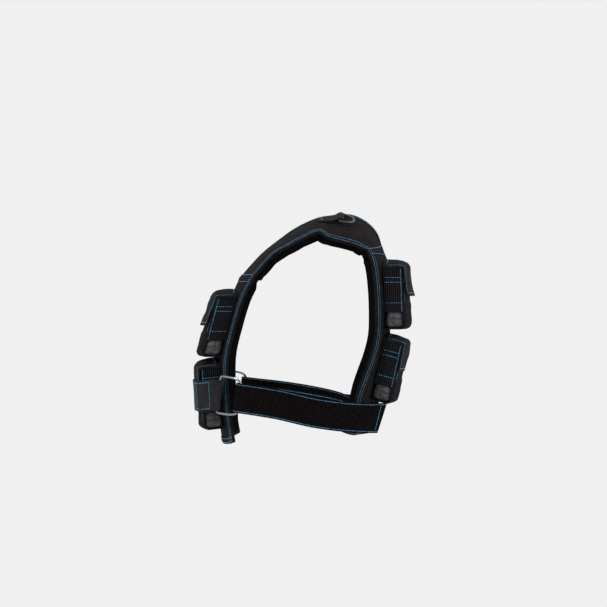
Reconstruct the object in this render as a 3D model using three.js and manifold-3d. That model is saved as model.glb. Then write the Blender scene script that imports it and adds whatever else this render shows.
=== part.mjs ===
// A weighted training vest in the shape that it has when it is worn, in millimetres.
// +X is the wearer's left, -Y the chest and +Z up. The origin is between the shoulders, at the
// height where the straps sit on them.
// A padded front and back panel are joined by two shoulder straps, each lined with a thick mesh
// pad. Three columns and two rows of pouches on each panel hold weight bags under cloth flaps.
// A webbing belt over the lower front pouches holds a steel ring at each side, and a hook-and-loop
// belt from the back runs through each ring and folds back on itself.
import * as THREE from "three";
import { mergeVertices } from "three/addons/utils/BufferGeometryUtils.js";
import Module from "manifold-3d";

const wasm = await Module();
wasm.setup();

// Driving dimensions of the body
const PANEL_HALF_WIDTH = 150; // middle to armhole edge at the shoulder seams
const FRONT_REACH = 165; // shoulder line to the outer face of the front panel
const BACK_REACH = 140; // shoulder line to the outer face of the back panel
const FRONT_WRAP = 25; // how far the front panel's edges turn back round the chest
const BACK_WRAP = 30; // how far the back panel's edges turn forward
const FRONT_SEAM_DROP = 81; // origin down to the strap seams
const BACK_SEAM_DROP = 34;
const FRONT_HEM_DROP = 363;
const BACK_HEM_DROP = 343;
const SHOULDER_RISE = 28; // origin up to the neck edge of the straps
const SHOULDER_HALF_WIDTH = 166; // middle to the armhole edge on top of the shoulder
const NECK_HALF_WIDTH = 78; // middle to the neck edge on top of the shoulder
const NECK_SEAM_HALF_WIDTH = 57; // middle to the neck edge at the seams
const FRONT_NECK_SCOOP = 14; // how far the neckline dips below the strap seams
const BACK_NECK_SCOOP = 6;
const STRAP_CROWN = 5; // how far a strap bulges between its edges
const HEM_CORNER_RISE = 7;
const SHELL = 4; // padded outer cloth
const LINING = 9; // mesh pad inside it
const LINING_INSET = 5; // edge of the cloth to the edge of the pad

// Driving dimensions of the pouches
const COLUMN_PITCH = 82;
const POUCH_WIDTH = 78;
const POUCH_HEIGHT = 105;
const POUCH_DEPTH = 33;
const POUCH_CLOTH = 2;
const POUCH_CORNER = 9; // radius where the bottom turns up into the front
const SIDE_BAND_HEIGHT = 76; // elastic side of a pouch, open below it
const FRONT_UPPER_DROP = 113; // origin down to the mouths of the upper pouches
const BACK_UPPER_DROP = 63;
const FRONT_ROW_GAP = 13; // bottom of an upper pouch to the mouth of the one below it
const BACK_ROW_GAP = 17;
const FRONT_ROW_DROPS = {
  upper: FRONT_UPPER_DROP,
  lower: FRONT_UPPER_DROP + POUCH_HEIGHT + FRONT_ROW_GAP,
};
const BACK_ROW_DROPS = {
  upper: BACK_UPPER_DROP,
  lower: BACK_UPPER_DROP + POUCH_HEIGHT + BACK_ROW_GAP,
};
const FLAP_CLOTH = 2.4;
// Of each row's flaps: length down the front of the pouch, how far the middle stands above the
// sides, and how far the free end stands off the pouch.
const FLAPS = {
  front_upper: { length: 50, crown: 11, lift: 5 },
  front_lower: { length: 44, crown: 9, lift: 0 },
  back_upper: { length: 48, crown: 11, lift: 5 },
  back_lower: { length: 47, crown: 6, lift: 0 },
};
const BAG_CROWN = 3;
const BAG_CORNER = 8;
const BAG_CLEARANCE = 1.9; // back of a bag to the panel

// Driving dimensions of the belts and rings
const FRONT_BELT_WIDTH = 52;
const FRONT_BELT_CLOTH = 2.2;
const FRONT_BELT_DROP = 277; // origin down to the middle of the belt
const BELT_RING_CLEAR = 3; // armhole edge of the panels out to the straight bar of the ring
const BELT_RING_FORWARD = 153; // shoulder line forward to that bar
const BELT_RING_TURN = 23; // degrees that the ring turns out from the side
const BELT_RING_LEAN = 7; // degrees that its top leans back, as the belt pulls it down
const BELT_RING_LENGTH = 40; // straight bar to the far side, wire centres
const BELT_RING_HALF_HEIGHT = 31;
const BELT_RING_WIRE = 4;
const BELT_RING_DROP = 276.5;
const BELT_RING_SQUARENESS = 5.2; // exponent of the round side, 2 for an ellipse
const SIDE_BELT_WIDTH = 50;
const SIDE_BELT_CLOTH = 2.5;
const SIDE_BELT_CLEAR = 27; // armhole edge of the panels out to the belt at the waist
const SIDE_BELT_START = 8; // middle to where the belt is sewn on the back panel
const SIDE_BELT_BACK_DROP = 319;
const SIDE_BELT_RING_DROP = 283;
const SIDE_BELT_TAIL = 121; // shoulder line back to the middle of the free end
const SIDE_BELT_SLANT = 17; // how much further back the top of that end is than its bottom
const SHOULDER_RING_HALF_WIDTH = 16.5;
const SHOULDER_RING_LENGTH = 24;
const SHOULDER_RING_WIRE = 4;
const SHOULDER_RING_SQUARENESS = 2.6;
const TAB_WIDTH = 25;
const TAB_CLOTH = 1.8;
const TAB_LENGTH = 38; // sewn down on the strap, up to the ring
const TAB_CENTRE = 0.36; // across the strap, 0 at the neck and 1 at the arm

const SEWN_GAP = 0.4; // clearance between pieces that lie on each other
const SEAM_GAP = 0.8; // clearance where two padded pieces meet edge to edge

// Outlines, as shares of the named sizes that each column follows
const FRONT_PROFILE = [
  { drop: 0.223, reach: 0.735 },
  { drop: 0.317, reach: 0.822 },
  { drop: 0.441, reach: 0.898 },
  { drop: 0.579, reach: 0.976 },
  { drop: 0.702, reach: 1.0 },
  { drop: 0.815, reach: 0.981 },
  { drop: 0.926, reach: 0.945 },
  { drop: 1.0, reach: 0.915 },
];
const BACK_PROFILE = [
  { drop: 0.1, reach: 0.907 },
  { drop: 0.158, reach: 0.962 },
  { drop: 0.287, reach: 0.993 },
  { drop: 0.425, reach: 1.0 },
  { drop: 0.528, reach: 0.993 },
  { drop: 0.616, reach: 0.957 },
  { drop: 0.721, reach: 0.893 },
  { drop: 0.85, reach: 0.818 },
  { drop: 1.0, reach: 0.77 },
];
const FRONT_WIDTHS = [
  { drop: 0.223, half: 1.0 },
  { drop: 0.3, half: 0.973 },
  { drop: 0.43, half: 0.947 },
  { drop: 0.58, half: 0.96 },
  { drop: 0.72, half: 0.99 },
  { drop: 1.0, half: 0.973 },
];
const BACK_WIDTHS = [
  { drop: 0.1, half: 1.0 },
  { drop: 0.3, half: 0.973 },
  { drop: 0.5, half: 0.967 },
  { drop: 0.64, half: 1.0 },
  { drop: 0.82, half: 1.073 },
  { drop: 1.0, half: 1.08 },
];
// The strap from the front seam, station 0, to the back seam, station 10, whose own rows come
// from the panels. Out is a share of the half width, along of the panel's reach and fall of the
// height from the neck edge down to the panel's seam.
const STRAP_SECTIONS = [
  { station: 1, side: -1, armOut: 0.91, armAlong: 0.49, armFall: 0.826,
    neckOut: 0.744, neckAlong: 0.618, neckFall: 0.806 },
  { station: 2, side: -1, armOut: 0.928, armAlong: 0.36, armFall: 0.626,
    neckOut: 0.821, neckAlong: 0.485, neckFall: 0.601 },
  { station: 3, side: -1, armOut: 0.952, armAlong: 0.213, armFall: 0.502,
    neckOut: 0.897, neckAlong: 0.314, neckFall: 0.394 },
  { station: 4, side: -1, armOut: 0.976, armAlong: 0.066, armFall: 0.388,
    neckOut: 0.962, neckAlong: 0.143, neckFall: 0.212 },
  { station: 5, side: 1, armOut: 0.994, armAlong: 0.106, armFall: 0.52,
    neckOut: 1.0, neckAlong: 0.073, neckFall: 0.118 },
  { station: 6, side: 1, armOut: 1.0, armAlong: 0.218, armFall: 0.66,
    neckOut: 1.0, neckAlong: 0.242, neckFall: 0.035 },
  { station: 7, side: 1, armOut: 0.994, armAlong: 0.405, armFall: 0.785,
    neckOut: 1.0, neckAlong: 0.483, neckFall: 0.0 },
  { station: 8, side: 1, armOut: 0.97, armAlong: 0.54, armFall: 0.865,
    neckOut: 0.949, neckAlong: 0.676, neckFall: 0.174 },
  { station: 9, side: 1, armOut: 0.94, armAlong: 0.62, armFall: 0.94,
    neckOut: 0.86, neckAlong: 0.82, neckFall: 0.505 },
];
const STRAP_LAST = 10;
const STRAP_BLEND = 2.5; // stations over which a strap takes the shape of the panel it meets

const v3 = (x, y, z) => new THREE.Vector3(x, y, z);
const lerp = THREE.MathUtils.lerp;
const clamp = THREE.MathUtils.clamp;
const shares = (count) => Array.from({ length: count + 1 }, (_, i) => i / count);

// A smooth curve through the rows of a table, straight past its ends.
function through(rows, along, of) {
  const places = rows.map((row) => row[along]);
  const values = rows.map((row) => row[of]);
  const last = rows.length - 1;
  const slopes = places.map((_, i) => {
    const a = Math.max(i - 1, 0);
    const b = Math.min(i + 1, last);
    return (values[b] - values[a]) / (places[b] - places[a]);
  });
  return (place) => {
    if (place <= places[0]) return values[0] + slopes[0] * (place - places[0]);
    if (place >= places[last]) return values[last] + slopes[last] * (place - places[last]);
    let i = 0;
    while (place > places[i + 1]) i += 1;
    const step = places[i + 1] - places[i];
    const u = (place - places[i]) / step;
    const w = 1 - u;
    return values[i] * w * w * (1 + 2 * u) + values[i + 1] * u * u * (1 + 2 * w) +
      step * u * w * (slopes[i] * w - slopes[i + 1] * u);
  };
}

// Closed meshes

// A closed geometry from corner points and faces, turned so that its faces point out.
function closedGeometry(points, faces) {
  const index = [];
  for (const face of faces) {
    for (let k = 1; k < face.length - 1; k += 1) index.push(face[0], face[k], face[k + 1]);
  }
  let volume = 0;
  const across = new THREE.Vector3();
  for (let k = 0; k < index.length; k += 3) {
    across.crossVectors(points[index[k + 1]], points[index[k + 2]]);
    volume += points[index[k]].dot(across);
  }
  if (volume < 0) index.reverse();
  const geometry = new THREE.BufferGeometry().setFromPoints(points);
  geometry.setIndex(index);
  return geometry;
}

// A sheet with a thickness: point(i, j, face) gives the outer grid at face 0, the inner at face 1.
function sheet(columns, rows, point) {
  const points = [];
  for (const face of [0, 1]) {
    for (let j = 0; j <= rows; j += 1) {
      for (let i = 0; i <= columns; i += 1) points.push(point(i, j, face));
    }
  }
  const at = (i, j, face) => face * (columns + 1) * (rows + 1) + j * (columns + 1) + i;
  const faces = [];
  for (let j = 0; j < rows; j += 1) {
    for (let i = 0; i < columns; i += 1) {
      faces.push([at(i, j, 0), at(i + 1, j, 0), at(i + 1, j + 1, 0), at(i, j + 1, 0)]);
      faces.push([at(i, j, 1), at(i, j + 1, 1), at(i + 1, j + 1, 1), at(i + 1, j, 1)]);
    }
  }
  for (let i = 0; i < columns; i += 1) {
    faces.push([at(i, 0, 0), at(i, 0, 1), at(i + 1, 0, 1), at(i + 1, 0, 0)]);
    faces.push([at(i, rows, 0), at(i + 1, rows, 0), at(i + 1, rows, 1), at(i, rows, 1)]);
  }
  for (let j = 0; j < rows; j += 1) {
    faces.push([at(0, j, 0), at(0, j + 1, 0), at(0, j + 1, 1), at(0, j, 1)]);
    faces.push([at(columns, j, 0), at(columns, j, 1), at(columns, j + 1, 1), at(columns, j + 1, 0)]);
  }
  return closedGeometry(points, faces);
}

// A solid through rings of points, closed by a face at each end, or joined up where loop is true.
function loft(rings, loop = false) {
  const sides = rings[0].length;
  const count = rings.length;
  const faces = [];
  for (let j = 0; j < (loop ? count : count - 1); j += 1) {
    const next = (j + 1) % count;
    for (let i = 0; i < sides; i += 1) {
      const k = (i + 1) % sides;
      faces.push([j * sides + i, j * sides + k, next * sides + k, next * sides + i]);
    }
  }
  if (!loop) {
    faces.push([...rings[0].keys()].reverse());
    faces.push([...rings[0].keys()].map((i) => (count - 1) * sides + i));
  }
  return closedGeometry(rings.flat(), faces);
}

function mirrored(geometry) {
  const copy = geometry.clone().scale(-1, 1, 1);
  copy.setIndex([...geometry.index.array].reverse());
  return copy;
}

function toManifold(geometry) {
  const bare = new THREE.BufferGeometry();
  bare.setAttribute("position", geometry.getAttribute("position"));
  bare.setIndex(geometry.index);
  const merged = mergeVertices(bare, 1e-3);
  return new wasm.Manifold(new wasm.Mesh({
    numProp: 3,
    vertProperties: new Float32Array(merged.attributes.position.array),
    triVerts: new Uint32Array(merged.index.array),
  }));
}

function fromManifold(solid) {
  const mesh = solid.getMesh();
  const geometry = new THREE.BufferGeometry();
  geometry.setAttribute("position", new THREE.BufferAttribute(mesh.vertProperties, mesh.numProp));
  geometry.setIndex(new THREE.BufferAttribute(mesh.triVerts, 1));
  return geometry;
}

const sewnTogether = (pieces) =>
  fromManifold(pieces.map(toManifold).reduce((whole, piece) => whole.add(piece)));

// Front and back panels

// The outer face of a panel as a function of x and z, with the direction that it faces.
function makePanel(facing, reach, wrap, power, seamDrop, hemDrop, scoop, profile, widths) {
  const reachShare = through(profile, "drop", "reach");
  const widthShare = through(widths, "drop", "half");
  const depth = (x, z) =>
    reach * reachShare(-z / hemDrop) - wrap * Math.abs(x / PANEL_HALF_WIDTH) ** power;
  const point = (x, z) => v3(x, facing * depth(x, z), z);
  const normal = (x, z) => {
    const reachStep = 0.5;
    const byX = depth(x + reachStep, z) - depth(x - reachStep, z);
    const byZ = depth(x, z + reachStep) - depth(x, z - reachStep);
    return v3(-byX, facing, -byZ).normalize();
  };
  const at = (x, z, out) => point(x, z).addScaledVector(normal(x, z), out);
  const halfWidth = (z) => PANEL_HALF_WIDTH * widthShare(-z / hemDrop);
  const topAt = (x) => {
    const dip = Math.max(0, 1 - (x / NECK_SEAM_HALF_WIDTH) ** 2);
    return -seamDrop - scoop * dip;
  };
  const hemAt = (x) => -hemDrop + HEM_CORNER_RISE * Math.abs(x / PANEL_HALF_WIDTH) ** 6;
  return { facing, depth, point, normal, at, halfWidth, topAt, hemAt, seamDrop, hemDrop, reach };
}

const front = makePanel(-1, FRONT_REACH, FRONT_WRAP, 3, FRONT_SEAM_DROP, FRONT_HEM_DROP,
  FRONT_NECK_SCOOP, FRONT_PROFILE, FRONT_WIDTHS);
const back = makePanel(1, BACK_REACH, BACK_WRAP, 3, BACK_SEAM_DROP, BACK_HEM_DROP,
  BACK_NECK_SCOOP, BACK_PROFILE, BACK_WIDTHS);

// Column places from edge to edge, with one where the neck edge meets each strap seam.
function panelColumns(underStrap, underNeck) {
  const neck = NECK_SEAM_HALF_WIDTH / PANEL_HALF_WIDTH;
  const half = [
    ...shares(underNeck).map((u) => u * neck),
    ...shares(underStrap).slice(1).map((u) => lerp(neck, 1, u)),
  ];
  return [...half.slice(1).reverse().map((u) => -u), ...half];
}

function panelLayer(panel, places, rows, inset, outerFace, innerFace) {
  const levels = shares(rows);
  return sheet(places.length - 1, rows, (i, j, face) => {
    const level = lerp(-panel.hemDrop + inset, -panel.seamDrop - inset, levels[j]);
    const x = places[i] * (panel.halfWidth(level) - inset);
    const z = lerp(panel.hemAt(x) + inset, panel.topAt(x) - inset, levels[j]);
    return panel.at(x, z, face ? innerFace : outerFace);
  });
}

const panelShell = (panel) => panelLayer(panel, panelColumns(4, 3), 10, 0, 0, -SHELL);
const liningOuter = -(SHELL + 2.5 * SEWN_GAP);
const panelLining = (panel) =>
  panelLayer(panel, panelColumns(4, 3), 10, LINING_INSET, liningOuter, liningOuter - LINING);

// Shoulder straps

const seamPoint = (panel, w) => {
  const x = lerp(NECK_SEAM_HALF_WIDTH, PANEL_HALF_WIDTH, w);
  return { x, z: -panel.seamDrop + SEAM_GAP };
};

const strapStations = (() => {
  const end = (panel, station) => {
    const neck = seamPoint(panel, 0);
    const arm = seamPoint(panel, 1);
    const neckAt = panel.point(neck.x, neck.z);
    const armAt = panel.point(arm.x, arm.z);
    return { station, neckX: neckAt.x, neckY: neckAt.y, neckZ: neckAt.z,
      armX: armAt.x, armY: armAt.y, armZ: armAt.z };
  };
  const middle = STRAP_SECTIONS.map((row) => {
    const panel = row.side < 0 ? front : back;
    const fall = SHOULDER_RISE + panel.seamDrop;
    return {
      station: row.station,
      armX: SHOULDER_HALF_WIDTH * row.armOut,
      armY: panel.facing * panel.reach * row.armAlong,
      armZ: SHOULDER_RISE - fall * row.armFall,
      neckX: NECK_HALF_WIDTH * row.neckOut,
      neckY: panel.facing * panel.reach * row.neckAlong,
      neckZ: SHOULDER_RISE - fall * row.neckFall,
    };
  });
  return [end(front, 0), ...middle, end(back, STRAP_LAST)];
})();

const strapEdge = (edge) => {
  const parts = ["X", "Y", "Z"].map((axis) => through(strapStations, "station", edge + axis));
  return (station) => v3(...parts.map((part) => part(station)));
};
const neckEdge = strapEdge("neck");
const armEdge = strapEdge("arm");
const eased = (u) => u * u * (3 - 2 * u);
const nearFront = (station) => 1 - eased(clamp(station / STRAP_BLEND, 0, 1));
const nearBack = (station) => nearFront(STRAP_LAST - station);

// The outer face of the left strap at a station and a share w of the way from neck to arm.
function strapPoint(station, w) {
  const point = neckEdge(station).lerp(armEdge(station), w);
  const span = armEdge(station).sub(neckEdge(station));
  const step = 0.1;
  const run = neckEdge(station + step).sub(neckEdge(station - step));
  run.add(armEdge(station + step).sub(armEdge(station - step)));
  const up = span.clone().cross(run).normalize();
  const toFront = nearFront(station);
  const toBack = nearBack(station);
  point.addScaledVector(up, (1 - toFront - toBack) * STRAP_CROWN * 4 * w * (1 - w));
  for (const [panel, share, end] of [[front, toFront, 0], [back, toBack, STRAP_LAST]]) {
    if (share === 0) continue;
    const seam = seamPoint(panel, w);
    const chord = neckEdge(end).lerp(armEdge(end), w);
    point.addScaledVector(panel.point(seam.x, seam.z).sub(chord), share);
  }
  return point;
}

function strapNormal(station, w) {
  const step = 0.05;
  const alongStrap = strapPoint(Math.min(station + step, STRAP_LAST), w)
    .sub(strapPoint(Math.max(station - step, 0), w));
  const acrossStrap = strapPoint(station, w + step).sub(strapPoint(station, w - step));
  const normal = acrossStrap.cross(alongStrap).normalize();
  for (const [panel, share] of [
    [front, clamp(1 - 2 * station, 0, 1)],
    [back, clamp(1 - 2 * (STRAP_LAST - station), 0, 1)],
  ]) {
    const seam = seamPoint(panel, w);
    normal.lerp(panel.normal(seam.x, seam.z), share);
  }
  return normal.normalize();
}

const strapAt = (station, w, out) =>
  strapPoint(station, w).addScaledVector(strapNormal(station, w), out);

function strapLayer(columns, rows, inset, outerFace, innerFace) {
  const width = SHOULDER_HALF_WIDTH - NECK_HALF_WIDTH;
  const side = inset / width;
  const end = inset / 25; // a station is about 25 mm long
  return sheet(columns, rows, (i, j, face) => {
    const w = lerp(side, 1 - side, i / columns);
    const station = lerp(end, STRAP_LAST - end, j / rows);
    return strapAt(station, w, face ? innerFace : outerFace);
  });
}

const strapShell = strapLayer(6, 16, 0, 0, -SHELL);
const strapLining = strapLayer(6, 16, LINING_INSET, liningOuter, liningOuter - LINING);

// Pouches, weight bags and flaps

// The frame of one pouch on a panel: s across it, t down from its mouth and n out of the panel.
// The bags' weight holds n level where the panel leans back.
function pouchFrame(panel, column, drop) {
  const x = column * COLUMN_PITCH;
  const mouth = panel.point(x, -drop);
  const down = panel.point(x, -drop - POUCH_HEIGHT).sub(mouth).normalize();
  const middle = panel.normal(x, -drop - POUCH_HEIGHT / 2);
  const out = v3(middle.x, middle.y, Math.min(middle.z, 0)).normalize();
  const across = v3(-out.y * panel.facing, out.x * panel.facing, 0).normalize();
  const sign = across.x < 0 ? -1 : 1;
  across.multiplyScalar(sign);
  const at = (s, t, n) => mouth.clone().addScaledVector(across, s)
    .addScaledVector(down, t).addScaledVector(out, n);
  // Where the panel's face lies under a place on the pouch, found by closing in on it.
  const ground = (s, t) => {
    let n = 0;
    for (let pass = 0; pass < 8; pass += 1) {
      const p = at(s, t, n);
      n -= panel.facing * p.y - panel.depth(p.x, p.z);
    }
    return n;
  };
  return { at, ground };
}

// Places along the sling of a pouch: out along the bottom, round the corner and up the front.
function slingPath() {
  const bottom = POUCH_HEIGHT;
  const corner = POUCH_CORNER;
  const turn = (degrees) => {
    const a = THREE.MathUtils.degToRad(degrees);
    const out = v3(0, Math.cos(a), Math.sin(a));
    return { t: bottom - corner + corner * out.y, n: POUCH_DEPTH - corner + corner * out.z, out };
  };
  const rise = [0.66, 0.33, 0].map((share) =>
    ({ t: share * (bottom - corner), n: POUCH_DEPTH, out: v3(0, 0, 1) }));
  return [
    { t: bottom, n: null, out: v3(0, 1, 0) },
    { t: bottom, n: POUCH_DEPTH / 2, out: v3(0, 1, 0) },
    ...[0, 30, 60, 90].map(turn),
    ...rise,
  ];
}

function pouch(frame) {
  const half = POUCH_WIDTH / 2;
  const path = slingPath();
  const seat = (s, t) => frame.ground(s, t) + 2 * SEWN_GAP;
  const sling = sheet(4, path.length - 1, (i, j, face) => {
    const s = lerp(-half, half, i / 4);
    const { t, n, out } = path[j];
    const inward = face ? POUCH_CLOTH : 0;
    const place = n === null ? seat(s, t - inward) : n;
    return frame.at(s, t - out.y * inward, place - out.z * inward);
  });
  const side = (hand) => sheet(2, 2, (i, j, face) => {
    const s = hand * (half - (face ? POUCH_CLOTH : 0));
    const t = lerp(0, SIDE_BAND_HEIGHT, j / 2);
    return frame.at(s, t, lerp(seat(s, t), POUCH_DEPTH - POUCH_CLOTH / 2, i / 2));
  });
  return sewnTogether([sling, side(1), side(-1)]);
}

function weightBag(frame) {
  const clearance = POUCH_CLOTH + SEWN_GAP;
  const half = POUCH_WIDTH / 2 - clearance;
  const floor = POUCH_HEIGHT - clearance;
  const outer = POUCH_DEPTH - clearance;
  const levels = [
    { t: -BAG_CROWN, shrink: BAG_CORNER },
    { t: BAG_CORNER / 2, shrink: 0 },
    { t: floor / 2, shrink: 0 },
    { t: floor - BAG_CORNER, shrink: 0 },
    { t: floor, shrink: BAG_CORNER },
  ];
  const rings = levels.map(({ t, shrink }) => {
    const wide = half - shrink;
    const top = outer - shrink;
    const cut = BAG_CORNER;
    const corners = [[0, null], [wide, null], [wide, top - cut], [wide - cut, top],
      [cut - wide, top], [-wide, top - cut], [-wide, null]];
    return corners.map(([s, n]) => {
      const rest = frame.ground(s, t) + BAG_CLEARANCE + shrink / 2;
      return frame.at(s, t, n === null ? rest : n);
    });
  });
  return loft(rings);
}

// Places along a flap, from its seam on the panel out over the mouth and down the front.
function flapPath({ length, lift }) {
  const over = -(FLAP_CLOTH + 2.5 * SEWN_GAP); // height of the side edges above the mouth
  const face = POUCH_DEPTH + SEWN_GAP + FLAP_CLOTH;
  return [
    { t: over, n: null, rise: 1, bulge: 0, out: v3(0, -1, 0) },
    { t: over, n: face * 0.45, rise: 1, bulge: 0, out: v3(0, -1, 0) },
    { t: over, n: face * 0.78, rise: 0.8, bulge: 0, out: v3(0, -1, 0) },
    { t: over + 0.9, n: face - 0.9, rise: 0.5, bulge: 0.3, out: v3(0, -0.7, 0.7) },
    { t: over + 5, n: face, rise: 0.15, bulge: 0.7, out: v3(0, 0, 1) },
    { t: length * 0.55, n: face + lift * 0.35, rise: 0, bulge: 1, out: v3(0, 0, 1) },
    { t: length, n: face + lift, rise: 0, bulge: 0.6, out: v3(0, 0, 1) },
  ];
}

function flap(frame, shape) {
  const half = POUCH_WIDTH / 2 + 0.5;
  const bow = 1.2;
  const path = flapPath(shape);
  return sheet(4, path.length - 1, (i, j, face) => {
    const share = lerp(-1, 1, i / 4);
    const { t, n, rise, bulge, out } = path[j];
    const middle = 1 - share * share;
    const depth = face ? FLAP_CLOTH : 0;
    const level = t - rise * shape.crown * middle;
    const place = n === null ? frame.ground(share * half, level) + 2 * SEWN_GAP : n + bulge * bow * middle;
    return frame.at(share * half, level - out.y * depth, place - out.z * depth);
  });
}

// Belts and rings

// A flat strap whose middle line follows the points, standing on edge along the rise at each one.
// Its last end can be cut at a slant, with its top further on.
function belt(points, width, thickness, riseAt, slant = 0) {
  const rings = points.map((point, i) => {
    const cut = i === points.length - 1 ? slant : 0;
    const before = points[Math.max(i - 1, 0)];
    const after = points[Math.min(i + 1, points.length - 1)];
    const run = after.clone().sub(before).normalize();
    const rise = riseAt(point, i);
    const edge = rise.clone().addScaledVector(run, -run.dot(rise)).normalize();
    const face = run.clone().cross(edge);
    return [[1, 1], [1, -1], [-1, -1], [-1, 1]].map(([e, f]) =>
      point.clone().addScaledVector(edge, e * width / 2).addScaledVector(face, f * thickness / 2)
        .addScaledVector(run, e * cut / 2));
  });
  return loft(rings);
}

// A wire ring with one straight bar and a round side, in the plane of two directions.
function dRing(centre, away, upright, length, halfHeight, wire, squareness) {
  const facing = away.clone().cross(upright).normalize();
  const arcSteps = 16;
  const line = Array.from({ length: arcSteps + 1 }, (_, i) => {
    const angle = THREE.MathUtils.degToRad(lerp(-90, 90, i / arcSteps));
    const power = 2 / squareness;
    return {
      a: length * Math.abs(Math.cos(angle)) ** power,
      b: halfHeight * Math.sign(Math.sin(angle)) * Math.abs(Math.sin(angle)) ** power,
    };
  });
  line.push({ a: 0, b: halfHeight / 3 }, { a: 0, b: -halfHeight / 3 });
  const at = ({ a, b }) => centre.clone().addScaledVector(away, a).addScaledVector(upright, b);
  const count = line.length;
  const rings = line.map((place, i) => {
    const run = at(line[(i + 1) % count]).sub(at(line[(i + count - 1) % count])).normalize();
    const side = run.clone().cross(facing).normalize();
    return Array.from({ length: 6 }, (_, k) => {
      const angle = THREE.MathUtils.degToRad(60 * k);
      return at(place).addScaledVector(side, Math.cos(angle) * wire / 2)
        .addScaledVector(facing, Math.sin(angle) * wire / 2);
    });
  });
  return loft(rings, true);
}

const ringTurn = THREE.MathUtils.degToRad(BELT_RING_TURN);
const ringOut = v3(Math.cos(ringTurn), -Math.sin(ringTurn), 0);
const ringLean = THREE.MathUtils.degToRad(-BELT_RING_LEAN);
const ringAway = v3(Math.sin(ringTurn), Math.cos(ringTurn), 0).applyAxisAngle(ringOut, ringLean);
const ringUp = v3(0, 0, 1).applyAxisAngle(ringOut, ringLean);
const ringBar = v3(PANEL_HALF_WIDTH + BELT_RING_CLEAR, -BELT_RING_FORWARD, -BELT_RING_DROP);
const ringPlace = (away, out, up = 0) => ringBar.clone().addScaledVector(ringAway, away)
  .addScaledVector(ringOut, out).addScaledVector(ringUp, up);

const beltRing = dRing(ringBar, ringAway, ringUp, BELT_RING_LENGTH, BELT_RING_HALF_HEIGHT,
  BELT_RING_WIRE, BELT_RING_SQUARENESS);

// Points of a U-turn round a wire, from the inner layer of a belt to its outer layer.
function foldRound(away, radius, up, hand) {
  return shares(6).map((u) => {
    const angle = lerp(-Math.PI / 2, Math.PI / 2, u);
    return ringPlace(away + hand * radius * Math.cos(angle), radius * Math.sin(angle), up);
  });
}

const smoothLine = (points, count) => new THREE.CatmullRomCurve3(points).getSpacedPoints(count);

// The belt across the lower front pouches, with a sewn-back loop round the bar of each ring.
function frontBelt() {
  const lowerLength = FRONT_BELT_DROP - FRONT_ROW_DROPS.lower;
  const clear = POUCH_DEPTH + FLAP_CLOTH + 2 * SEWN_GAP + FRONT_BELT_CLOTH / 2 + 1.5;
  const side = pouchFrame(front, 1, FRONT_ROW_DROPS.lower);
  const middle = pouchFrame(front, 0, FRONT_ROW_DROPS.lower);
  const half = POUCH_WIDTH / 2;
  const radius = BELT_RING_WIRE / 2 + SEWN_GAP + FRONT_BELT_CLOTH / 2;
  const layers = (FRONT_BELT_CLOTH + SEWN_GAP) / 2;
  const up = -2;
  const pastCorner = side.at(half + 4.5, lowerLength, clear - 2.2).add(v3(0, 2.5, 0));
  const approach = pastCorner.clone().lerp(ringPlace(-radius * 2.2, 0, up), 0.62);
  const returnEnd = pastCorner.clone().lerp(approach, 0.35);
  const outside = approach.clone().sub(pastCorner).normalize();
  const outwards = v3(outside.y, -outside.x, 0);
  const outerLayer = [
    middle.at(0, lowerLength, clear),
    middle.at(half * 0.66, lowerLength, clear),
    side.at(-half * 0.66, lowerLength, clear),
    side.at(0, lowerLength, clear),
    side.at(half - 3, lowerLength, clear),
    pastCorner,
    approach.clone().addScaledVector(outwards, layers),
    ringPlace(-radius * 1.6, radius * 0.8, up),
  ];
  const innerLayer = [
    ringPlace(-radius * 1.6, -radius * 0.8, up),
    approach.clone().addScaledVector(outwards, -layers - 0.3),
    returnEnd.clone().addScaledVector(outwards, -2 * layers - 0.5),
  ];
  const fold = foldRound(0, radius, up, 1).reverse();
  const home = smoothLine([fold[fold.length - 1], ...innerLayer], 6).slice(1);
  const left = [...smoothLine(outerLayer, 22).slice(0, -1), ...fold, ...home];
  const right = left.slice(1).map((p) => v3(-p.x, p.y, p.z)).reverse();
  // The belt leans with the pouches that it presses on and turns upright towards the ring.
  const pouchRise = side.at(0, 0, 0).sub(side.at(0, POUCH_HEIGHT, 0)).normalize();
  const rise = (point) => {
    const share = clamp((Math.abs(point.x) - pastCorner.x) / (ringBar.x - pastCorner.x), 0, 1);
    const mirroredUp = v3(ringUp.x * Math.sign(point.x), ringUp.y, ringUp.z);
    return v3(0, pouchRise.y, pouchRise.z).lerp(mirroredUp, share);
  };
  return belt([...right, ...left], FRONT_BELT_WIDTH, FRONT_BELT_CLOTH, rise);
}

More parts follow.
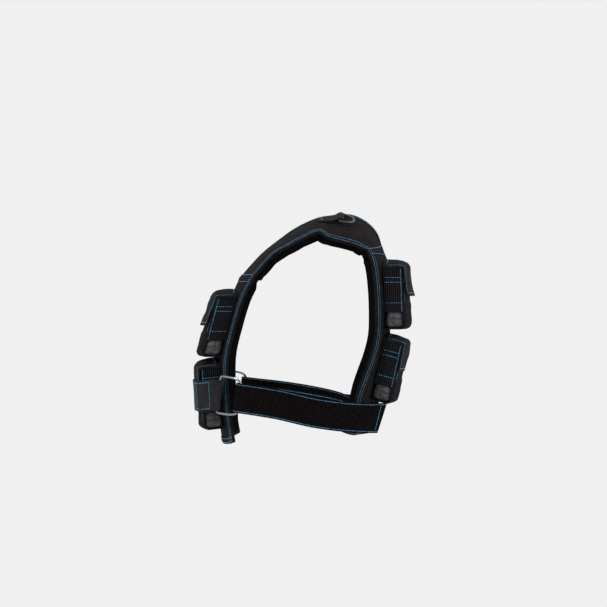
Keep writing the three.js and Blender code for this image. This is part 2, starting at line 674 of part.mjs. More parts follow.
// The belt from the back panel round the side, through the ring and back to its free end.
function sideBelt() {
  const backDrop = SIDE_BELT_BACK_DROP;
  const onBack = (x) => back.at(x, -backDrop, 2.5 * SEWN_GAP + SIDE_BELT_CLOTH / 2);
  const layer = (SIDE_BELT_CLOTH + SEWN_GAP) / 2;
  const foldRadius = BELT_RING_WIRE / 2 + SEWN_GAP + SIDE_BELT_CLOTH / 2;
  const edgeOfPanel = back.halfWidth(-backDrop);
  const fold = BELT_RING_LENGTH * 0.872;
  const up = -1;
  const out = PANEL_HALF_WIDTH + SIDE_BELT_CLEAR;
  const tail = SIDE_BELT_TAIL;
  const dropBy = (share) => -lerp(SIDE_BELT_RING_DROP, backDrop, share);
  const inner = [
    ...[SIDE_BELT_START, edgeOfPanel * 0.28, edgeOfPanel * 0.56, edgeOfPanel * 0.77,
      edgeOfPanel - 12, edgeOfPanel + 3].map(onBack),
    v3(out - 6.5, 45, dropBy(0.7)),
    v3(out - layer, 5, dropBy(0.45)),
    v3(out - layer - 2, -50, dropBy(0.2)),
    ringPlace(fold + 26, -layer - 0.6, up),
    ringPlace(fold + 8, -foldRadius, up),
    ringPlace(fold, -foldRadius, up),
  ];
  const outer = [
    ringPlace(fold, foldRadius, up),
    ringPlace(fold + 8, foldRadius, up),
    ringPlace(fold + 26, layer + 0.6, up),
    v3(out + layer - 1.6, -50, dropBy(0.28)),
    v3(out + layer + 0.4, 5, dropBy(0.63)),
    v3(out - 2, tail * 0.455, dropBy(0.83)),
    v3(out - 14, tail * 0.785, dropBy(0.91)),
    v3(out - 24, tail, dropBy(0.92)),
  ];
  const turn = foldRound(fold, foldRadius, up, -1);
  const innerLine = smoothLine(inner, 26).slice(0, -1);
  const path = [...innerLine, ...turn, ...smoothLine(outer, 16).slice(1)];
  // The sewn part leans as the back panel does, and the folded part as the ring does.
  const rise = (point, i) => {
    const sewn = i < innerLine.length ? clamp((point.y - 30) / 40, 0, 1) : 0;
    const atRing = clamp((-60 - point.y) / 40, 0, 1);
    const x = Math.min(point.x, edgeOfPanel);
    const half = SIDE_BELT_WIDTH / 2;
    const slope = back.point(x, half - backDrop).sub(back.point(x, -half - backDrop)).normalize();
    return v3(0, 0, 1).lerp(slope, sewn).lerp(ringUp, atRing);
  };
  return belt(path, SIDE_BELT_WIDTH, SIDE_BELT_CLOTH, rise, SIDE_BELT_SLANT);
}

// The ring on top of a strap and the webbing tab that holds its bar.

const TAB_STATION = 5.1; // where the sewn tab starts on the strap
const stripLength = (from, to) => strapPoint(from, TAB_CENTRE).distanceTo(strapPoint(to, TAB_CENTRE));
const stationLength = stripLength(TAB_STATION, TAB_STATION + 1.6) / 1.6;
const alongTab = (distance, out) => strapAt(TAB_STATION + distance / stationLength, TAB_CENTRE, out);
const acrossTab = (distance) => {
  const station = TAB_STATION + distance / stationLength;
  return strapPoint(station, TAB_CENTRE + 0.05).sub(strapPoint(station, TAB_CENTRE - 0.05)).normalize();
};
const TAB_SEAT = 0.6; // strap to the underside of the tab
const barHeight = TAB_SEAT + TAB_CLOTH + 5.5 * SEWN_GAP + SHOULDER_RING_WIRE / 2;

function ringTab() {
  const radius = SHOULDER_RING_WIRE / 2 + 3 * SEWN_GAP + TAB_CLOTH / 2;
  const base = TAB_SEAT + TAB_CLOTH / 2;
  const lie = [0, 0.25, 0.5, 0.75, 1].map((share) => ({ d: share * TAB_LENGTH * 0.95, n: base }));
  const turn = shares(5).map((u) => {
    const angle = lerp(-90, 100, u) * THREE.MathUtils.DEG2RAD;
    return { d: TAB_LENGTH + radius * Math.cos(angle), n: barHeight + radius * Math.sin(angle) };
  });
  const home = [
    { d: TAB_LENGTH * 0.79, n: base + TAB_CLOTH + 5 * SEWN_GAP },
    { d: TAB_LENGTH * 0.63, n: base + TAB_CLOTH + SEWN_GAP },
    { d: TAB_LENGTH * 0.37, n: base + TAB_CLOTH + SEWN_GAP },
  ];
  const path = [...lie, ...turn, ...home];
  const rings = path.map((place, i) => {
    const before = path[Math.max(i - 1, 0)];
    const after = path[Math.min(i + 1, path.length - 1)];
    const run = Math.hypot(after.d - before.d, after.n - before.n);
    const side = { d: -(after.n - before.n) / run, n: (after.d - before.d) / run };
    const corner = (across, face) => alongTab(place.d + side.d * face, place.n + side.n * face)
      .addScaledVector(acrossTab(Math.min(place.d, TAB_LENGTH)), across);
    const half = TAB_WIDTH / 2;
    const thick = TAB_CLOTH / 2;
    return [corner(-half, thick), corner(half, thick), corner(half, -thick), corner(-half, -thick)];
  });
  return loft(rings);
}

function shoulderRing() {
  const bar = alongTab(TAB_LENGTH, barHeight);
  const far = alongTab(TAB_LENGTH + SHOULDER_RING_LENGTH, barHeight);
  const away = far.sub(bar).normalize();
  const across = acrossTab(TAB_LENGTH);
  across.addScaledVector(away, -across.dot(away)).normalize();
  return dRing(bar, away, across, SHOULDER_RING_LENGTH, SHOULDER_RING_HALF_WIDTH,
    SHOULDER_RING_WIRE, SHOULDER_RING_SQUARENESS);
}

// Materials, with the colours that show in daylight

const finish = (color, roughness, metalness = 0) =>
  new THREE.MeshStandardMaterial({ color, roughness, metalness });
const shellCloth = finish(0x2a2729, 0.85);
const liningMesh = finish(0x0d0d0e, 0.95);
const pouchCloth = finish(0x29292c, 0.85);
const flapCloth = finish(0x303033, 0.85);
const bagNylon = finish(0x4b4b4f, 0.5);
const webbing = finish(0x2d2d30, 0.8);
const loopTape = finish(0x111113, 1);
const brightSteel = finish(0xc9cbd0, 0.2, 1);
const blackSteel = finish(0x1b1b1d, 0.4, 1);

// Assembly

const vest = new THREE.Group();

function add(name, geometry, material) {
  const mesh = new THREE.Mesh(geometry, material);
  mesh.name = name;
  vest.add(mesh);
}

function addPair(name, geometry, material) {
  add(name + "_left", geometry, material);
  add(name + "_right", mirrored(geometry), material);
}

add("front_panel", panelShell(front), shellCloth);
add("back_panel", panelShell(back), shellCloth);
add("front_lining", panelLining(front), liningMesh);
add("back_lining", panelLining(back), liningMesh);
addPair("shoulder_strap", strapShell, shellCloth);
addPair("shoulder_lining", strapLining, liningMesh);

const columns = { left: 1, middle: 0, right: -1 };
for (const [place, panel, rows] of [["front", front, FRONT_ROW_DROPS], ["back", back, BACK_ROW_DROPS]]) {
  for (const [row, drop] of Object.entries(rows)) {
    for (const [column, step] of Object.entries(columns)) {
      const frame = pouchFrame(panel, step, drop);
      const name = `${place}_${row}_${column}`;
      add("pouch_" + name, pouch(frame), pouchCloth);
      add("weight_bag_" + name, weightBag(frame), bagNylon);
      add("flap_" + name, flap(frame, FLAPS[`${place}_${row}`]), flapCloth);
    }
  }
}

add("front_belt", frontBelt(), webbing);
addPair("belt_ring", beltRing, brightSteel);
addPair("side_belt", sideBelt(), loopTape);
addPair("ring_tab", ringTab(), webbing);
addPair("shoulder_ring", shoulderRing(), blackSteel);

export default vest;
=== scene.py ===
# %% [markdown]
# # A weighted training vest
# The vest is two padded panels joined over the shoulders by two straps. Twelve pouches hold bags of
# iron sand, and a belt at each side runs through a steel ring and sticks to itself.
# The CAD part gives every place and size. Here each of its pieces is made again as cloth, webbing
# or wire, in the same place.

# %% Load the CAD part
import math

import bpy
import numpy as np
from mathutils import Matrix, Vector, noise


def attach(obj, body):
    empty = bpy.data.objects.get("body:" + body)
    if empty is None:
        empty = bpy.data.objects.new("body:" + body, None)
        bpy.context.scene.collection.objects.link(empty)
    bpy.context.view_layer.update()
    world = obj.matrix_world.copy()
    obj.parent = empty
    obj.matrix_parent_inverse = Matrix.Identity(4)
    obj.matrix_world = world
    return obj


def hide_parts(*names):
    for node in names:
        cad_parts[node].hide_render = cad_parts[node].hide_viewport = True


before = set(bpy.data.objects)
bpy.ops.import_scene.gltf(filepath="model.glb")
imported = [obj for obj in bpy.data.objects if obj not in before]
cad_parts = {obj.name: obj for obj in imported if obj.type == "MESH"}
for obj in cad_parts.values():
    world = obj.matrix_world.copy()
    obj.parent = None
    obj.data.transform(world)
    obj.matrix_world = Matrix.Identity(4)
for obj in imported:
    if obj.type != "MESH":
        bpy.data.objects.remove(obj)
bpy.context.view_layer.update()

# %% [markdown]
# ## The sizes of the vest
# The shapes below follow the same curves as the CAD part, so they start from the same numbers,
# in millimetres. +X is the wearer's left, -Y the chest and +Z up.

# %% Sizes
MM = 0.001
PANEL_HALF_WIDTH = 150
NECK_SEAM_HALF_WIDTH = 57
HEM_CORNER_RISE = 7
SHELL = 4
LINING = 9
LINING_OUTER = -5
LINING_INSET = 5
SHOULDER_RISE = 28
SHOULDER_HALF_WIDTH = 166
NECK_HALF_WIDTH = 78
STRAP_CROWN = 5
STRAP_LAST = 10
STRAP_BLEND = 2.5
COLUMN_PITCH = 82
POUCH_WIDTH = 78
POUCH_HALF = POUCH_WIDTH / 2
POUCH_HEIGHT = 105
POUCH_DEPTH = 33
POUCH_CORNER = 9
SIDE_BAND_HEIGHT = 76
FLAP_CLOTH = 2.4
FLAP_HALF_WIDTH = POUCH_HALF + 0.6
SEWN_GAP = 0.4
SEAM_GAP = 0.8
LOWER_FRONT_DROP = 231
FRONT_BELT_DROP = 277
FRONT_BELT_WIDTH = 52
FRONT_BELT_CLOTH = 2.2
SIDE_BELT_WIDTH = 50
SIDE_BELT_CLOTH = 2.5
RING_WIRE = 4.0
BELT_RING_LENGTH = 40
BELT_RING_HALF_HEIGHT = 31
SHOULDER_RING_LENGTH = 24
SHOULDER_RING_HALF_HEIGHT = 16.5

# %% [markdown]
# ## Smooth curves from a few rows
# A panel's outline is known at about eight heights. Between them a cubic keeps the outline smooth,
# as a pattern cutter's curve does, and past the ends it goes straight on.

# %% Smooth curves
def through(places, values):
    places = np.array(places, float)
    values = np.array(values, float)
    last = len(places) - 1
    before = np.maximum(np.arange(last + 1) - 1, 0)
    after = np.minimum(np.arange(last + 1) + 1, last)
    slopes = (values[after] - values[before]) / (places[after] - places[before])

    def curve(place):
        place = np.asarray(place, float)
        inside = np.clip(place, places[0], places[-1])
        i = np.clip(np.searchsorted(places, inside, side="right") - 1, 0, last - 1)
        step = places[i + 1] - places[i]
        u = (inside - places[i]) / step
        w = 1 - u
        smooth = values[i] * w * w * (1 + 2 * u) + values[i + 1] * u * u * (1 + 2 * w)
        smooth = smooth + step * u * w * (slopes[i] * w - slopes[i + 1] * u)
        below = np.minimum(place - places[0], 0) * slopes[0]
        above = np.maximum(place - places[-1], 0) * slopes[-1]
        return smooth + below + above

    return curve


def mix(a, b, share):
    return a + (b - a) * share


def eased(share):
    share = np.clip(share, 0, 1)
    return share * share * (3 - 2 * share)


def unit(vectors):
    return vectors / np.linalg.norm(vectors, axis=-1, keepdims=True)


def xyz(x, y, z):
    return np.stack(np.broadcast_arrays(np.asarray(x, float), y, z), axis=-1)


def mirrored(points):
    return points * np.array([-1.0, 1.0, 1.0])


SIDES = (("left", np.array), ("right", mirrored))


def lengths_along(points):
    """How far each point lies along the line, from 0 at the first."""
    steps = np.linalg.norm(np.diff(points, axis=0), axis=-1)
    return np.concatenate([[0], np.cumsum(steps)])


def places_at(at, length, points):
    """The places on a line of points at some lengths along it."""
    return np.stack([np.interp(at, length, points[:, k]) for k in range(3)], axis=-1)


# %% [markdown]
# ## The faces of the two panels
# A worn panel is a curved wall: it reaches forward by a share of its depth at each height, and its
# edges wrap round the body. Any place on it is an x, a z and a distance out of the cloth.

# %% Panel faces
class Panel:
    def __init__(self, facing, reach, wrap, seam_drop, hem_drop, scoop, profile, widths):
        self.facing = facing
        self.reach = reach
        self.wrap = wrap
        self.seam_drop = seam_drop
        self.hem_drop = hem_drop
        self.scoop = scoop
        self.reach_share = through(*zip(*profile))
        self.width_share = through(*zip(*widths))

    def depth(self, x, z):
        turned = self.wrap * np.abs(x / PANEL_HALF_WIDTH) ** 3
        return self.reach * self.reach_share(-z / self.hem_drop) - turned

    def point(self, x, z):
        return xyz(x, self.facing * self.depth(x, z), z)

    def normal(self, x, z):
        by_x = self.depth(x + 0.5, z) - self.depth(x - 0.5, z)
        by_z = self.depth(x, z + 0.5) - self.depth(x, z - 0.5)
        return unit(xyz(-by_x, self.facing, -by_z))

    def at(self, x, z, out):
        x, z, out = np.broadcast_arrays(np.asarray(x, float), z, out)
        return self.point(x, z) + self.normal(x, z) * out[..., None]

    def half_width(self, z):
        return PANEL_HALF_WIDTH * self.width_share(-z / self.hem_drop)

    def top_at(self, x):
        return -self.seam_drop - self.scoop * np.maximum(0, 1 - (x / NECK_SEAM_HALF_WIDTH) ** 2)

    def hem_at(self, x):
        return -self.hem_drop + HEM_CORNER_RISE * np.abs(x / PANEL_HALF_WIDTH) ** 6

    def inside(self, u, v, inset, out):
        """A place at u from -1 to 1 across and v from 0 at the hem to 1 at the top."""
        level = mix(-self.hem_drop + inset, -self.seam_drop - inset, v)
        x = u * (self.half_width(level) - inset)
        z = mix(self.hem_at(x) + inset, self.top_at(x) - inset, v)
        return self.at(x, z, out)


# A profile's rows are a share of the hem's drop and the share of the reach there. The widths' rows
# are the same with the share of the half width.
front = Panel(
    facing=-1, reach=165, wrap=25, seam_drop=81, hem_drop=363, scoop=14,
    profile=[(0.223, 0.735), (0.317, 0.822), (0.441, 0.898), (0.579, 0.976), (0.702, 1.0),
             (0.815, 0.981), (0.926, 0.945), (1.0, 0.915)],
    widths=[(0.223, 1.0), (0.3, 0.973), (0.43, 0.947), (0.58, 0.96), (0.72, 0.99), (1.0, 0.973)],
)
back = Panel(
    facing=1, reach=140, wrap=30, seam_drop=34, hem_drop=343, scoop=6,
    profile=[(0.1, 0.907), (0.158, 0.962), (0.287, 0.993), (0.425, 1.0), (0.528, 0.993),
             (0.616, 0.957), (0.721, 0.893), (0.85, 0.818), (1.0, 0.77)],
    widths=[(0.1, 1.0), (0.3, 0.973), (0.5, 0.967), (0.64, 1.0), (0.82, 1.073), (1.0, 1.08)],
)
PANELS = {"front": front, "back": back}
print("front hem is at", front.point(0, front.hem_at(0)).round(1), "mm")

# %% [markdown]
# ## The faces of the straps
# A strap leaves the front panel, goes over the shoulder and meets the back panel. Eleven stations
# give its neck edge and its arm edge, and near each panel it takes that panel's own curve.

# %% Strap faces
# Each row is a station from the chest to the back: the panel on that side, then for the arm edge
# and for the neck edge how far it is out, along and down, as shares of the named sizes. A station
# is about 25 mm from the next.
STATION = 25
STRAP_SECTIONS = [
    (front, (0.91, 0.49, 0.826), (0.744, 0.618, 0.806)),
    (front, (0.928, 0.36, 0.626), (0.821, 0.485, 0.601)),
    (front, (0.952, 0.213, 0.502), (0.897, 0.314, 0.394)),
    (front, (0.976, 0.066, 0.388), (0.962, 0.143, 0.212)),
    (back, (0.994, 0.106, 0.52), (1.0, 0.073, 0.118)),
    (back, (1.0, 0.218, 0.66), (1.0, 0.242, 0.035)),
    (back, (0.994, 0.405, 0.785), (1.0, 0.483, 0.0)),
    (back, (0.97, 0.54, 0.865), (0.949, 0.676, 0.174)),
    (back, (0.94, 0.62, 0.94), (0.86, 0.82, 0.505)),
]
ARM_SHARES, NECK_SHARES = 1, 2


def seam_place(panel, w):
    return mix(NECK_SEAM_HALF_WIDTH, PANEL_HALF_WIDTH, w), -panel.seam_drop + SEAM_GAP


def strap_edge(w, half_width, shares):
    """One edge of the left strap as a curve by the station, from the front seam to the back one."""
    places = [front.point(*seam_place(front, w))]
    for section in STRAP_SECTIONS:
        panel, (out, along, fall) = section[0], section[shares]
        places.append(xyz(half_width * out, panel.facing * panel.reach * along,
                          SHOULDER_RISE - (SHOULDER_RISE + panel.seam_drop) * fall))
    places.append(back.point(*seam_place(back, w)))
    curves = [through(range(STRAP_LAST + 1), column) for column in np.array(places).T]
    return lambda station: xyz(*[curve(station) for curve in curves])


neck_edge = strap_edge(0, NECK_HALF_WIDTH, NECK_SHARES)
arm_edge = strap_edge(1, SHOULDER_HALF_WIDTH, ARM_SHARES)


def strap_point(station, w):
    """A place on the outer face of the left strap: w is 0 at the neck and 1 at the arm."""
    station, w = np.broadcast_arrays(np.asarray(station, float), np.asarray(w, float))
    point = mix(neck_edge(station), arm_edge(station), w[..., None])
    span = arm_edge(station) - neck_edge(station)
    run = neck_edge(station + 0.1) - neck_edge(station - 0.1)
    run = run + arm_edge(station + 0.1) - arm_edge(station - 0.1)
    up = unit(np.cross(span, run))
    to_front = 1 - eased(station / STRAP_BLEND)
    to_back = 1 - eased((STRAP_LAST - station) / STRAP_BLEND)
    crown = (1 - to_front - to_back) * STRAP_CROWN * 4 * w * (1 - w)
    point = point + up * crown[..., None]
    for panel, share, end in ((front, to_front, 0), (back, to_back, STRAP_LAST)):
        chord = mix(neck_edge(end + 0 * w), arm_edge(end + 0 * w), w[..., None])
        point = point + (panel.point(*seam_place(panel, w)) - chord) * share[..., None]
    return point


def strap_at(station, w, out):
    station, w, out = np.broadcast_arrays(np.asarray(station, float), w, out)
    ahead = np.minimum(station + 0.05, STRAP_LAST)
    behind = np.maximum(station - 0.05, 0)
    along = strap_point(ahead, w) - strap_point(behind, w)
    across = strap_point(station, w + 0.05) - strap_point(station, w - 0.05)
    normal = unit(np.cross(across, along))
    for panel, share in ((front, np.clip(1 - 2 * station, 0, 1)),
                         (back, np.clip(1 - 2 * (STRAP_LAST - station), 0, 1))):
        normal = mix(normal, panel.normal(*seam_place(panel, w)), share[..., None])
    return strap_point(station, w) + unit(normal) * out[..., None]


def strap_width(station):
    return np.linalg.norm(arm_edge(station) - neck_edge(station), axis=-1)


print("strap is", round(float(strap_width(5.0))), "mm wide on the shoulder")

# %% [markdown]
# ## Helpers for materials
# A colour is written as a web colour and turned into the linear values that the shader needs.
# One small function adds a shader node, with its settings and what it is linked to.

# %% Material helpers
def linear(code):
    parts = [int(code[i:i + 2], 16) / 255 for i in (0, 2, 4)]
    parts = [p / 12.92 if p <= 0.04045 else ((p + 0.055) / 1.055) ** 2.4 for p in parts]
    return (*parts, 1.0)


def new_material(name, colour, roughness, **sockets):
    material = bpy.data.materials.new(name)
    material.use_nodes = True
    material.diffuse_color = linear(colour)
    shader = material.node_tree.nodes["Principled BSDF"]
    shader.inputs["Base Color"].default_value = linear(colour)
    shader.inputs["Roughness"].default_value = roughness
    for socket, value in sockets.items():
        shader.inputs[socket.replace("_", " ")].default_value = value
    return material


def add_node(material, kind, inputs=(), **settings):
    made = material.node_tree.nodes.new(kind)
    for key, value in settings.items():
        setattr(made, key, value)
    for socket, value in inputs:
        if isinstance(value, bpy.types.NodeSocket):
            material.node_tree.links.new(value, made.inputs[socket])
        else:
            made.inputs[socket].default_value = value
    return made


def connect(material, output, socket):
    shader = material.node_tree.nodes["Principled BSDF"]
    material.node_tree.links.new(output, shader.inputs[socket])


# %% [markdown]
# ## Woven cloth
# Cloth shows crossed threads when seen close, and uneven dye and wear from further off. Two wave
# patterns across each other make the threads, and soft noise makes the uneven tone.

# %% Woven materials
def pattern_space(material):
    return add_node(material, "ShaderNodeTexCoord").outputs["UV"]


def waves(material, space, pitch, direction):
    """Bands with that pitch in metres, across the sheet (X) or along it (Y)."""
    scale = 2 * math.pi / (20 * pitch)
    return add_node(material, "ShaderNodeTexWave", [("Vector", space), ("Scale", scale)],
                    wave_type="BANDS", bands_direction=direction).outputs["Fac"]


def spots(material, space, scale, detail=3.0, roughness=0.6, distortion=0.0):
    return add_node(material, "ShaderNodeTexNoise",
                    [("Vector", space), ("Scale", scale), ("Detail", detail),
                     ("Roughness", roughness), ("Distortion", distortion)]).outputs["Fac"]


def joined(material, a, b, operation):
    return add_node(material, "ShaderNodeMath", [(0, a), (1, b)], operation=operation).outputs[0]


def crossed_threads(material, space, pitch):
    return joined(material, waves(material, space, pitch, "X"), waves(material, space, pitch, "Y"),
                  "MAXIMUM")


def two_tone(material, share, dark, light, low=0.3, high=0.7):
    """The base colour goes from dark to light as the share goes from low to high."""
    ramp = add_node(material, "ShaderNodeValToRGB", [("Fac", share)])
    ramp.color_ramp.elements[0].position = low
    ramp.color_ramp.elements[0].color = linear(dark)
    ramp.color_ramp.elements[1].position = high
    ramp.color_ramp.elements[1].color = linear(light)
    connect(material, ramp.outputs["Color"], "Base Color")


def relief(material, height, distance, under=None):
    """Bumps of that depth in metres, over the bumps that are already there."""
    inputs = [("Height", height), ("Distance", distance), ("Strength", 1.0)]
    if under is not None:
        inputs.append(("Normal", under))
    normal = add_node(material, "ShaderNodeBump", inputs).outputs["Normal"]
    connect(material, normal, "Normal")
    return normal


def woven(name, dark, light, pitch, roughness, depth=0.00012, sheen=0.008):
    material = new_material(name, light, roughness, Sheen_Weight=sheen, Sheen_Roughness=0.5,
                            Specular_IOR_Level=0.04)
    space = pattern_space(material)
    threads = crossed_threads(material, space, pitch)
    tone = joined(material, spots(material, space, 55), spots(material, space, 900, 2), "ADD")
    tone = joined(material, tone, 0.5, "MULTIPLY")
    two_tone(material, tone, dark, light, 0.3, 0.7)
    soft = relief(material, spots(material, space, 140), 0.0006)
    relief(material, threads, depth, soft)
    return material


shell_cloth = woven("shell_cloth", "080707", "221e20", 0.0011, 0.85)
pouch_cloth = woven("pouch_cloth", "060607", "1b1a1d", 0.0011, 0.85)
flap_cloth = woven("flap_cloth", "070708", "1e1d20", 0.0012, 0.8)
tape_cloth = woven("edge_tape", "080809", "1c1b1e", 0.0009, 0.85)
webbing_cloth = woven("webbing", "0f0f10", "2d2d31", 0.0019, 0.7, 0.0003)

# %% [markdown]
# ## Elastic, pile, mesh, nylon and thread
# Ribbed elastic has raised ribs in one direction. The side belts are loop tape, a pile of tiny
# loops with no direction. The lining is a spacer mesh full of small holes. The weight bags are thin
# nylon with a slight shine, which shows every crease.

# %% Other soft materials
def make_elastic():
    material = new_material("elastic_rib", "1d1c1f", 0.8, Specular_IOR_Level=0.04)
    space = pattern_space(material)
    ribs = waves(material, space, 0.0034, "X")
    rows = waves(material, space, 0.0013, "Y")
    # Painted shade: the grooves between the ribs are coloured near black and the rib tops lighter.
    two_tone(material, ribs, "050506", "201f22", 0.15, 0.85)
    across = relief(material, rows, 0.00005)
    relief(material, ribs, 0.0006, across)
    return material


def make_pile():
    material = new_material("loop_pile", "0a090a", 1.0, Sheen_Weight=0.01, Sheen_Roughness=0.6,
                            Specular_IOR_Level=0.02)
    space = pattern_space(material)
    loops = spots(material, space, 1300, 4)
    hue = spots(material, space, 420, 4)
    two_tone(material, hue, "010101", "1e181b", 0.42, 0.72)
    coarse = relief(material, hue, 0.0008)
    relief(material, loops, 0.0005, coarse)
    return material


def make_mesh():
    material = new_material("spacer_mesh", "050506", 0.95, Specular_IOR_Level=0.01)
    space = pattern_space(material)
    cells = add_node(material, "ShaderNodeTexVoronoi", [("Vector", space), ("Scale", 330.0)],
                     feature="DISTANCE_TO_EDGE").outputs["Distance"]
    holes = add_node(material, "ShaderNodeMapRange", [("Value", cells), ("From Min", 0.08),
                     ("From Max", 0.3), ("To Min", 1.0), ("To Max", 0.0)]).outputs["Result"]
    # Painted shade: the insides of the holes, which are only bumps, are coloured near black and the strands
    # lighter.
    two_tone(material, holes, "010101", "0d0d0f", 0.2, 0.8)
    relief(material, holes, 0.0009)
    return material


def make_nylon():
    material = new_material("bag_nylon", "3a3a3d", 0.5, Specular_IOR_Level=0.35)
    space = pattern_space(material)
    creases = spots(material, space, 60.0, 3.0, 0.5, 1.4)
    # Painted light: the colour follows the creases, darker in some places and lighter on others, as shade
    # and highlight on the crinkles.
    two_tone(material, creases, "131315", "47474b", 0.32, 0.68)
    crinkle = relief(material, creases, 0.006)
    relief(material, crossed_threads(material, space, 0.0007), 0.00006, crinkle)
    return material


def make_thread():
    material = new_material("blue_thread", "3c93bd", 0.5, Sheen_Weight=0.2)
    space = add_node(material, "ShaderNodeTexCoord").outputs["Object"]
    two_tone(material, spots(material, space, 160, 2), "14455e", "3c93bd")
    return material


elastic_rib = make_elastic()
loop_pile = make_pile()
spacer_mesh = make_mesh()
bag_nylon = make_nylon()
blue_thread = make_thread()

# %% [markdown]
# ## Metal
# The belt rings are bent from bright steel wire, so they mirror the room. The small rings on the
# shoulders are painted black.

# %% Metal materials
bright_steel = new_material("bright_steel", "85878c", 0.16, Metallic=1.0)
scratches = add_node(bright_steel, "ShaderNodeTexNoise", [("Scale", 260.0), ("Detail", 4.0)])
worn = add_node(bright_steel, "ShaderNodeMapRange", [("Value", scratches.outputs["Fac"]),
                ("To Min", 0.1), ("To Max", 0.26)])
connect(bright_steel, worn.outputs["Result"], "Roughness")
black_steel = new_material("black_steel", "161617", 0.38, Coat_Weight=0.3, Coat_Roughness=0.2)
paint = add_node(black_steel, "ShaderNodeTexNoise", [("Scale", 300.0), ("Detail", 3.0)])
relief(black_steel, paint.outputs["Fac"], 0.0001)
print(len(bpy.data.materials), "materials")

# %% [markdown]
# ## Sheets of cloth
# Real cloth has a thickness, so a sheet is made as two grids of points, its outer and its inner
# face, closed all round. The rim is then rounded a little with a bevel, since a folded or cut edge
# is never sharp. Each face also gets a flat map in metres, which keeps the weave at its real size.

# %% Sheet helper
def only_select(piece):
    bpy.ops.object.select_all(action="DESELECT")
    piece.select_set(True)
    bpy.context.view_layer.objects.active = piece


def add_object(name, data):
    made = bpy.data.objects.new(name, data)
    bpy.context.scene.collection.objects.link(made)
    return made


def put_in_scene(name, points, faces, material, flat_map=None):
    """A mesh with these corners in millimetres, turned so that its faces point out."""
    points = np.asarray(points, float) * MM
    corners = points[np.asarray([face[:3] for face in faces])]
    volume = np.einsum("ij,ij->i", corners[:, 0], np.cross(corners[:, 1], corners[:, 2])).sum()
    if volume < 0:
        faces = [face[::-1] for face in faces]
    mesh = bpy.data.meshes.new(name)
    mesh.from_pydata(points.tolist(), [], [list(map(int, face)) for face in faces])
    if flat_map is not None:
        layer = mesh.uv_layers.new(name="flat")
        corner = np.zeros(len(mesh.loops), int)
        mesh.loops.foreach_get("vertex_index", corner)
        layer.data.foreach_set("uv", np.asarray(flat_map)[corner].ravel())
    mesh.materials.append(material)
    return add_object(name, mesh)


def round_rim(piece, width, segments=2):
    only_select(piece)
    rim = piece.modifiers.new("rim", "BEVEL")
    rim.width = width * MM
    rim.segments = segments
    rim.limit_method = "ANGLE"
    rim.angle_limit = math.radians(55)
    bpy.ops.object.modifier_apply(modifier="rim")


def smooth_look(piece, degrees=50):
    only_select(piece)
    bpy.ops.object.shade_smooth_by_angle(angle=math.radians(degrees))


def flat_places(grid):
    """How far each place is across and along the sheet, in metres."""
    across = np.linalg.norm(np.diff(grid, axis=1), axis=-1).mean(axis=0)
    along = np.linalg.norm(np.diff(grid, axis=0), axis=-1).mean(axis=1)
    u, v = [np.concatenate([[0], np.cumsum(steps)]) for steps in (across, along)]
    return np.stack(np.meshgrid(u, v), axis=-1).reshape(-1, 2) * MM


def grid_faces(rows, columns):
    """The faces of two grids, one behind the other, and of the rim between them."""
    ids = np.arange(rows * columns).reshape(rows, columns)
    quads = np.stack([ids[:-1, :-1], ids[:-1, 1:], ids[1:, 1:], ids[1:, :-1]], axis=-1)
    outer = quads.reshape(-1, 4)
    inner = outer[:, ::-1] + rows * columns
    loop = np.concatenate([ids[0, :], ids[1:, -1], ids[-1, -2::-1], ids[-2:0:-1, 0]])
    after = np.roll(loop, -1)
    rim = np.stack([after, loop, loop + rows * columns, after + rows * columns], axis=-1)
    return np.concatenate([outer, inner, rim]).tolist()


def closed_sheet(name, outer, inner, material, rim=0.4):
    rows, columns = outer.shape[:2]
    points = np.concatenate([outer.reshape(-1, 3), inner.reshape(-1, 3)])
    flat = flat_places(outer)
    piece = put_in_scene(name, points, grid_faces(rows, columns), material,
                         np.concatenate([flat, flat]))
    if rim:
        round_rim(piece, rim)
    smooth_look(piece)
    return piece


# %% [markdown]
# ## How each piece is registered
# Every piece rides on the vest's one body, and the CAD pieces that it stands for are hidden.

# %% Register a piece
def area_of(grid):
    """The area of a grid of places, in square metres."""
    crossed = np.cross(grid[1:, 1:] - grid[:-1, :-1], grid[1:, :-1] - grid[:-1, 1:])
    return float(np.linalg.norm(crossed, axis=-1).sum()) / 2 * MM * MM


def register(piece, slot, *nodes):
    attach(piece, "root")
    if nodes:
        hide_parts(*nodes)


def as_sheet(grid):
    across = np.linalg.norm(np.diff(grid, axis=1), axis=-1).sum(axis=1).max() * MM
    along = np.linalg.norm(np.diff(grid, axis=0), axis=-1).sum(axis=0).max() * MM
    area = area_of(grid)


def sheet_piece(name, grids, material, rim, slot, nodes):
    piece = closed_sheet(name, *grids, material, rim)
    register(piece, slot, *nodes)
    as_sheet(grids[0])


def padded_piece(name, grids, material, rim, slot, node):
    piece = closed_sheet(name, *grids, material, rim)
    register(piece, slot, node)

# %% [markdown]
# ## Creases
# Sewn cloth is never quite even. A slow noise makes the swells of padding, and short waves that
# fade away from a seam make the puckers that thread pulls into the edge.

# %% Creases
def swells(points, size, seed=0.0):
    """Smooth noise from -1 to 1 at each point, with lumps about as large as size."""
    flat = points.reshape(-1, 3) / size + seed
    values = [noise.noise(Vector(p)) for p in flat]
    return np.array(values).reshape(points.shape[:-1]) * 1.6


def puckers(along, distance, pitch=9.0, reach=7.0):
    """Short waves along a seam that fade with the distance from it, from -1 to 1."""
    wobble = np.sin(along * 0.11) * 1.7 + np.sin(along * 0.043 + 1.0) * 2.3
    return np.sin(2 * math.pi * along / pitch + wobble) * np.exp(-((distance / reach) ** 2))


# %% [markdown]
# ## Stitches
# One stitch is a short, plump length of thread that sinks into the cloth at both ends. It is
# modelled once and copied along each row at an even pitch.

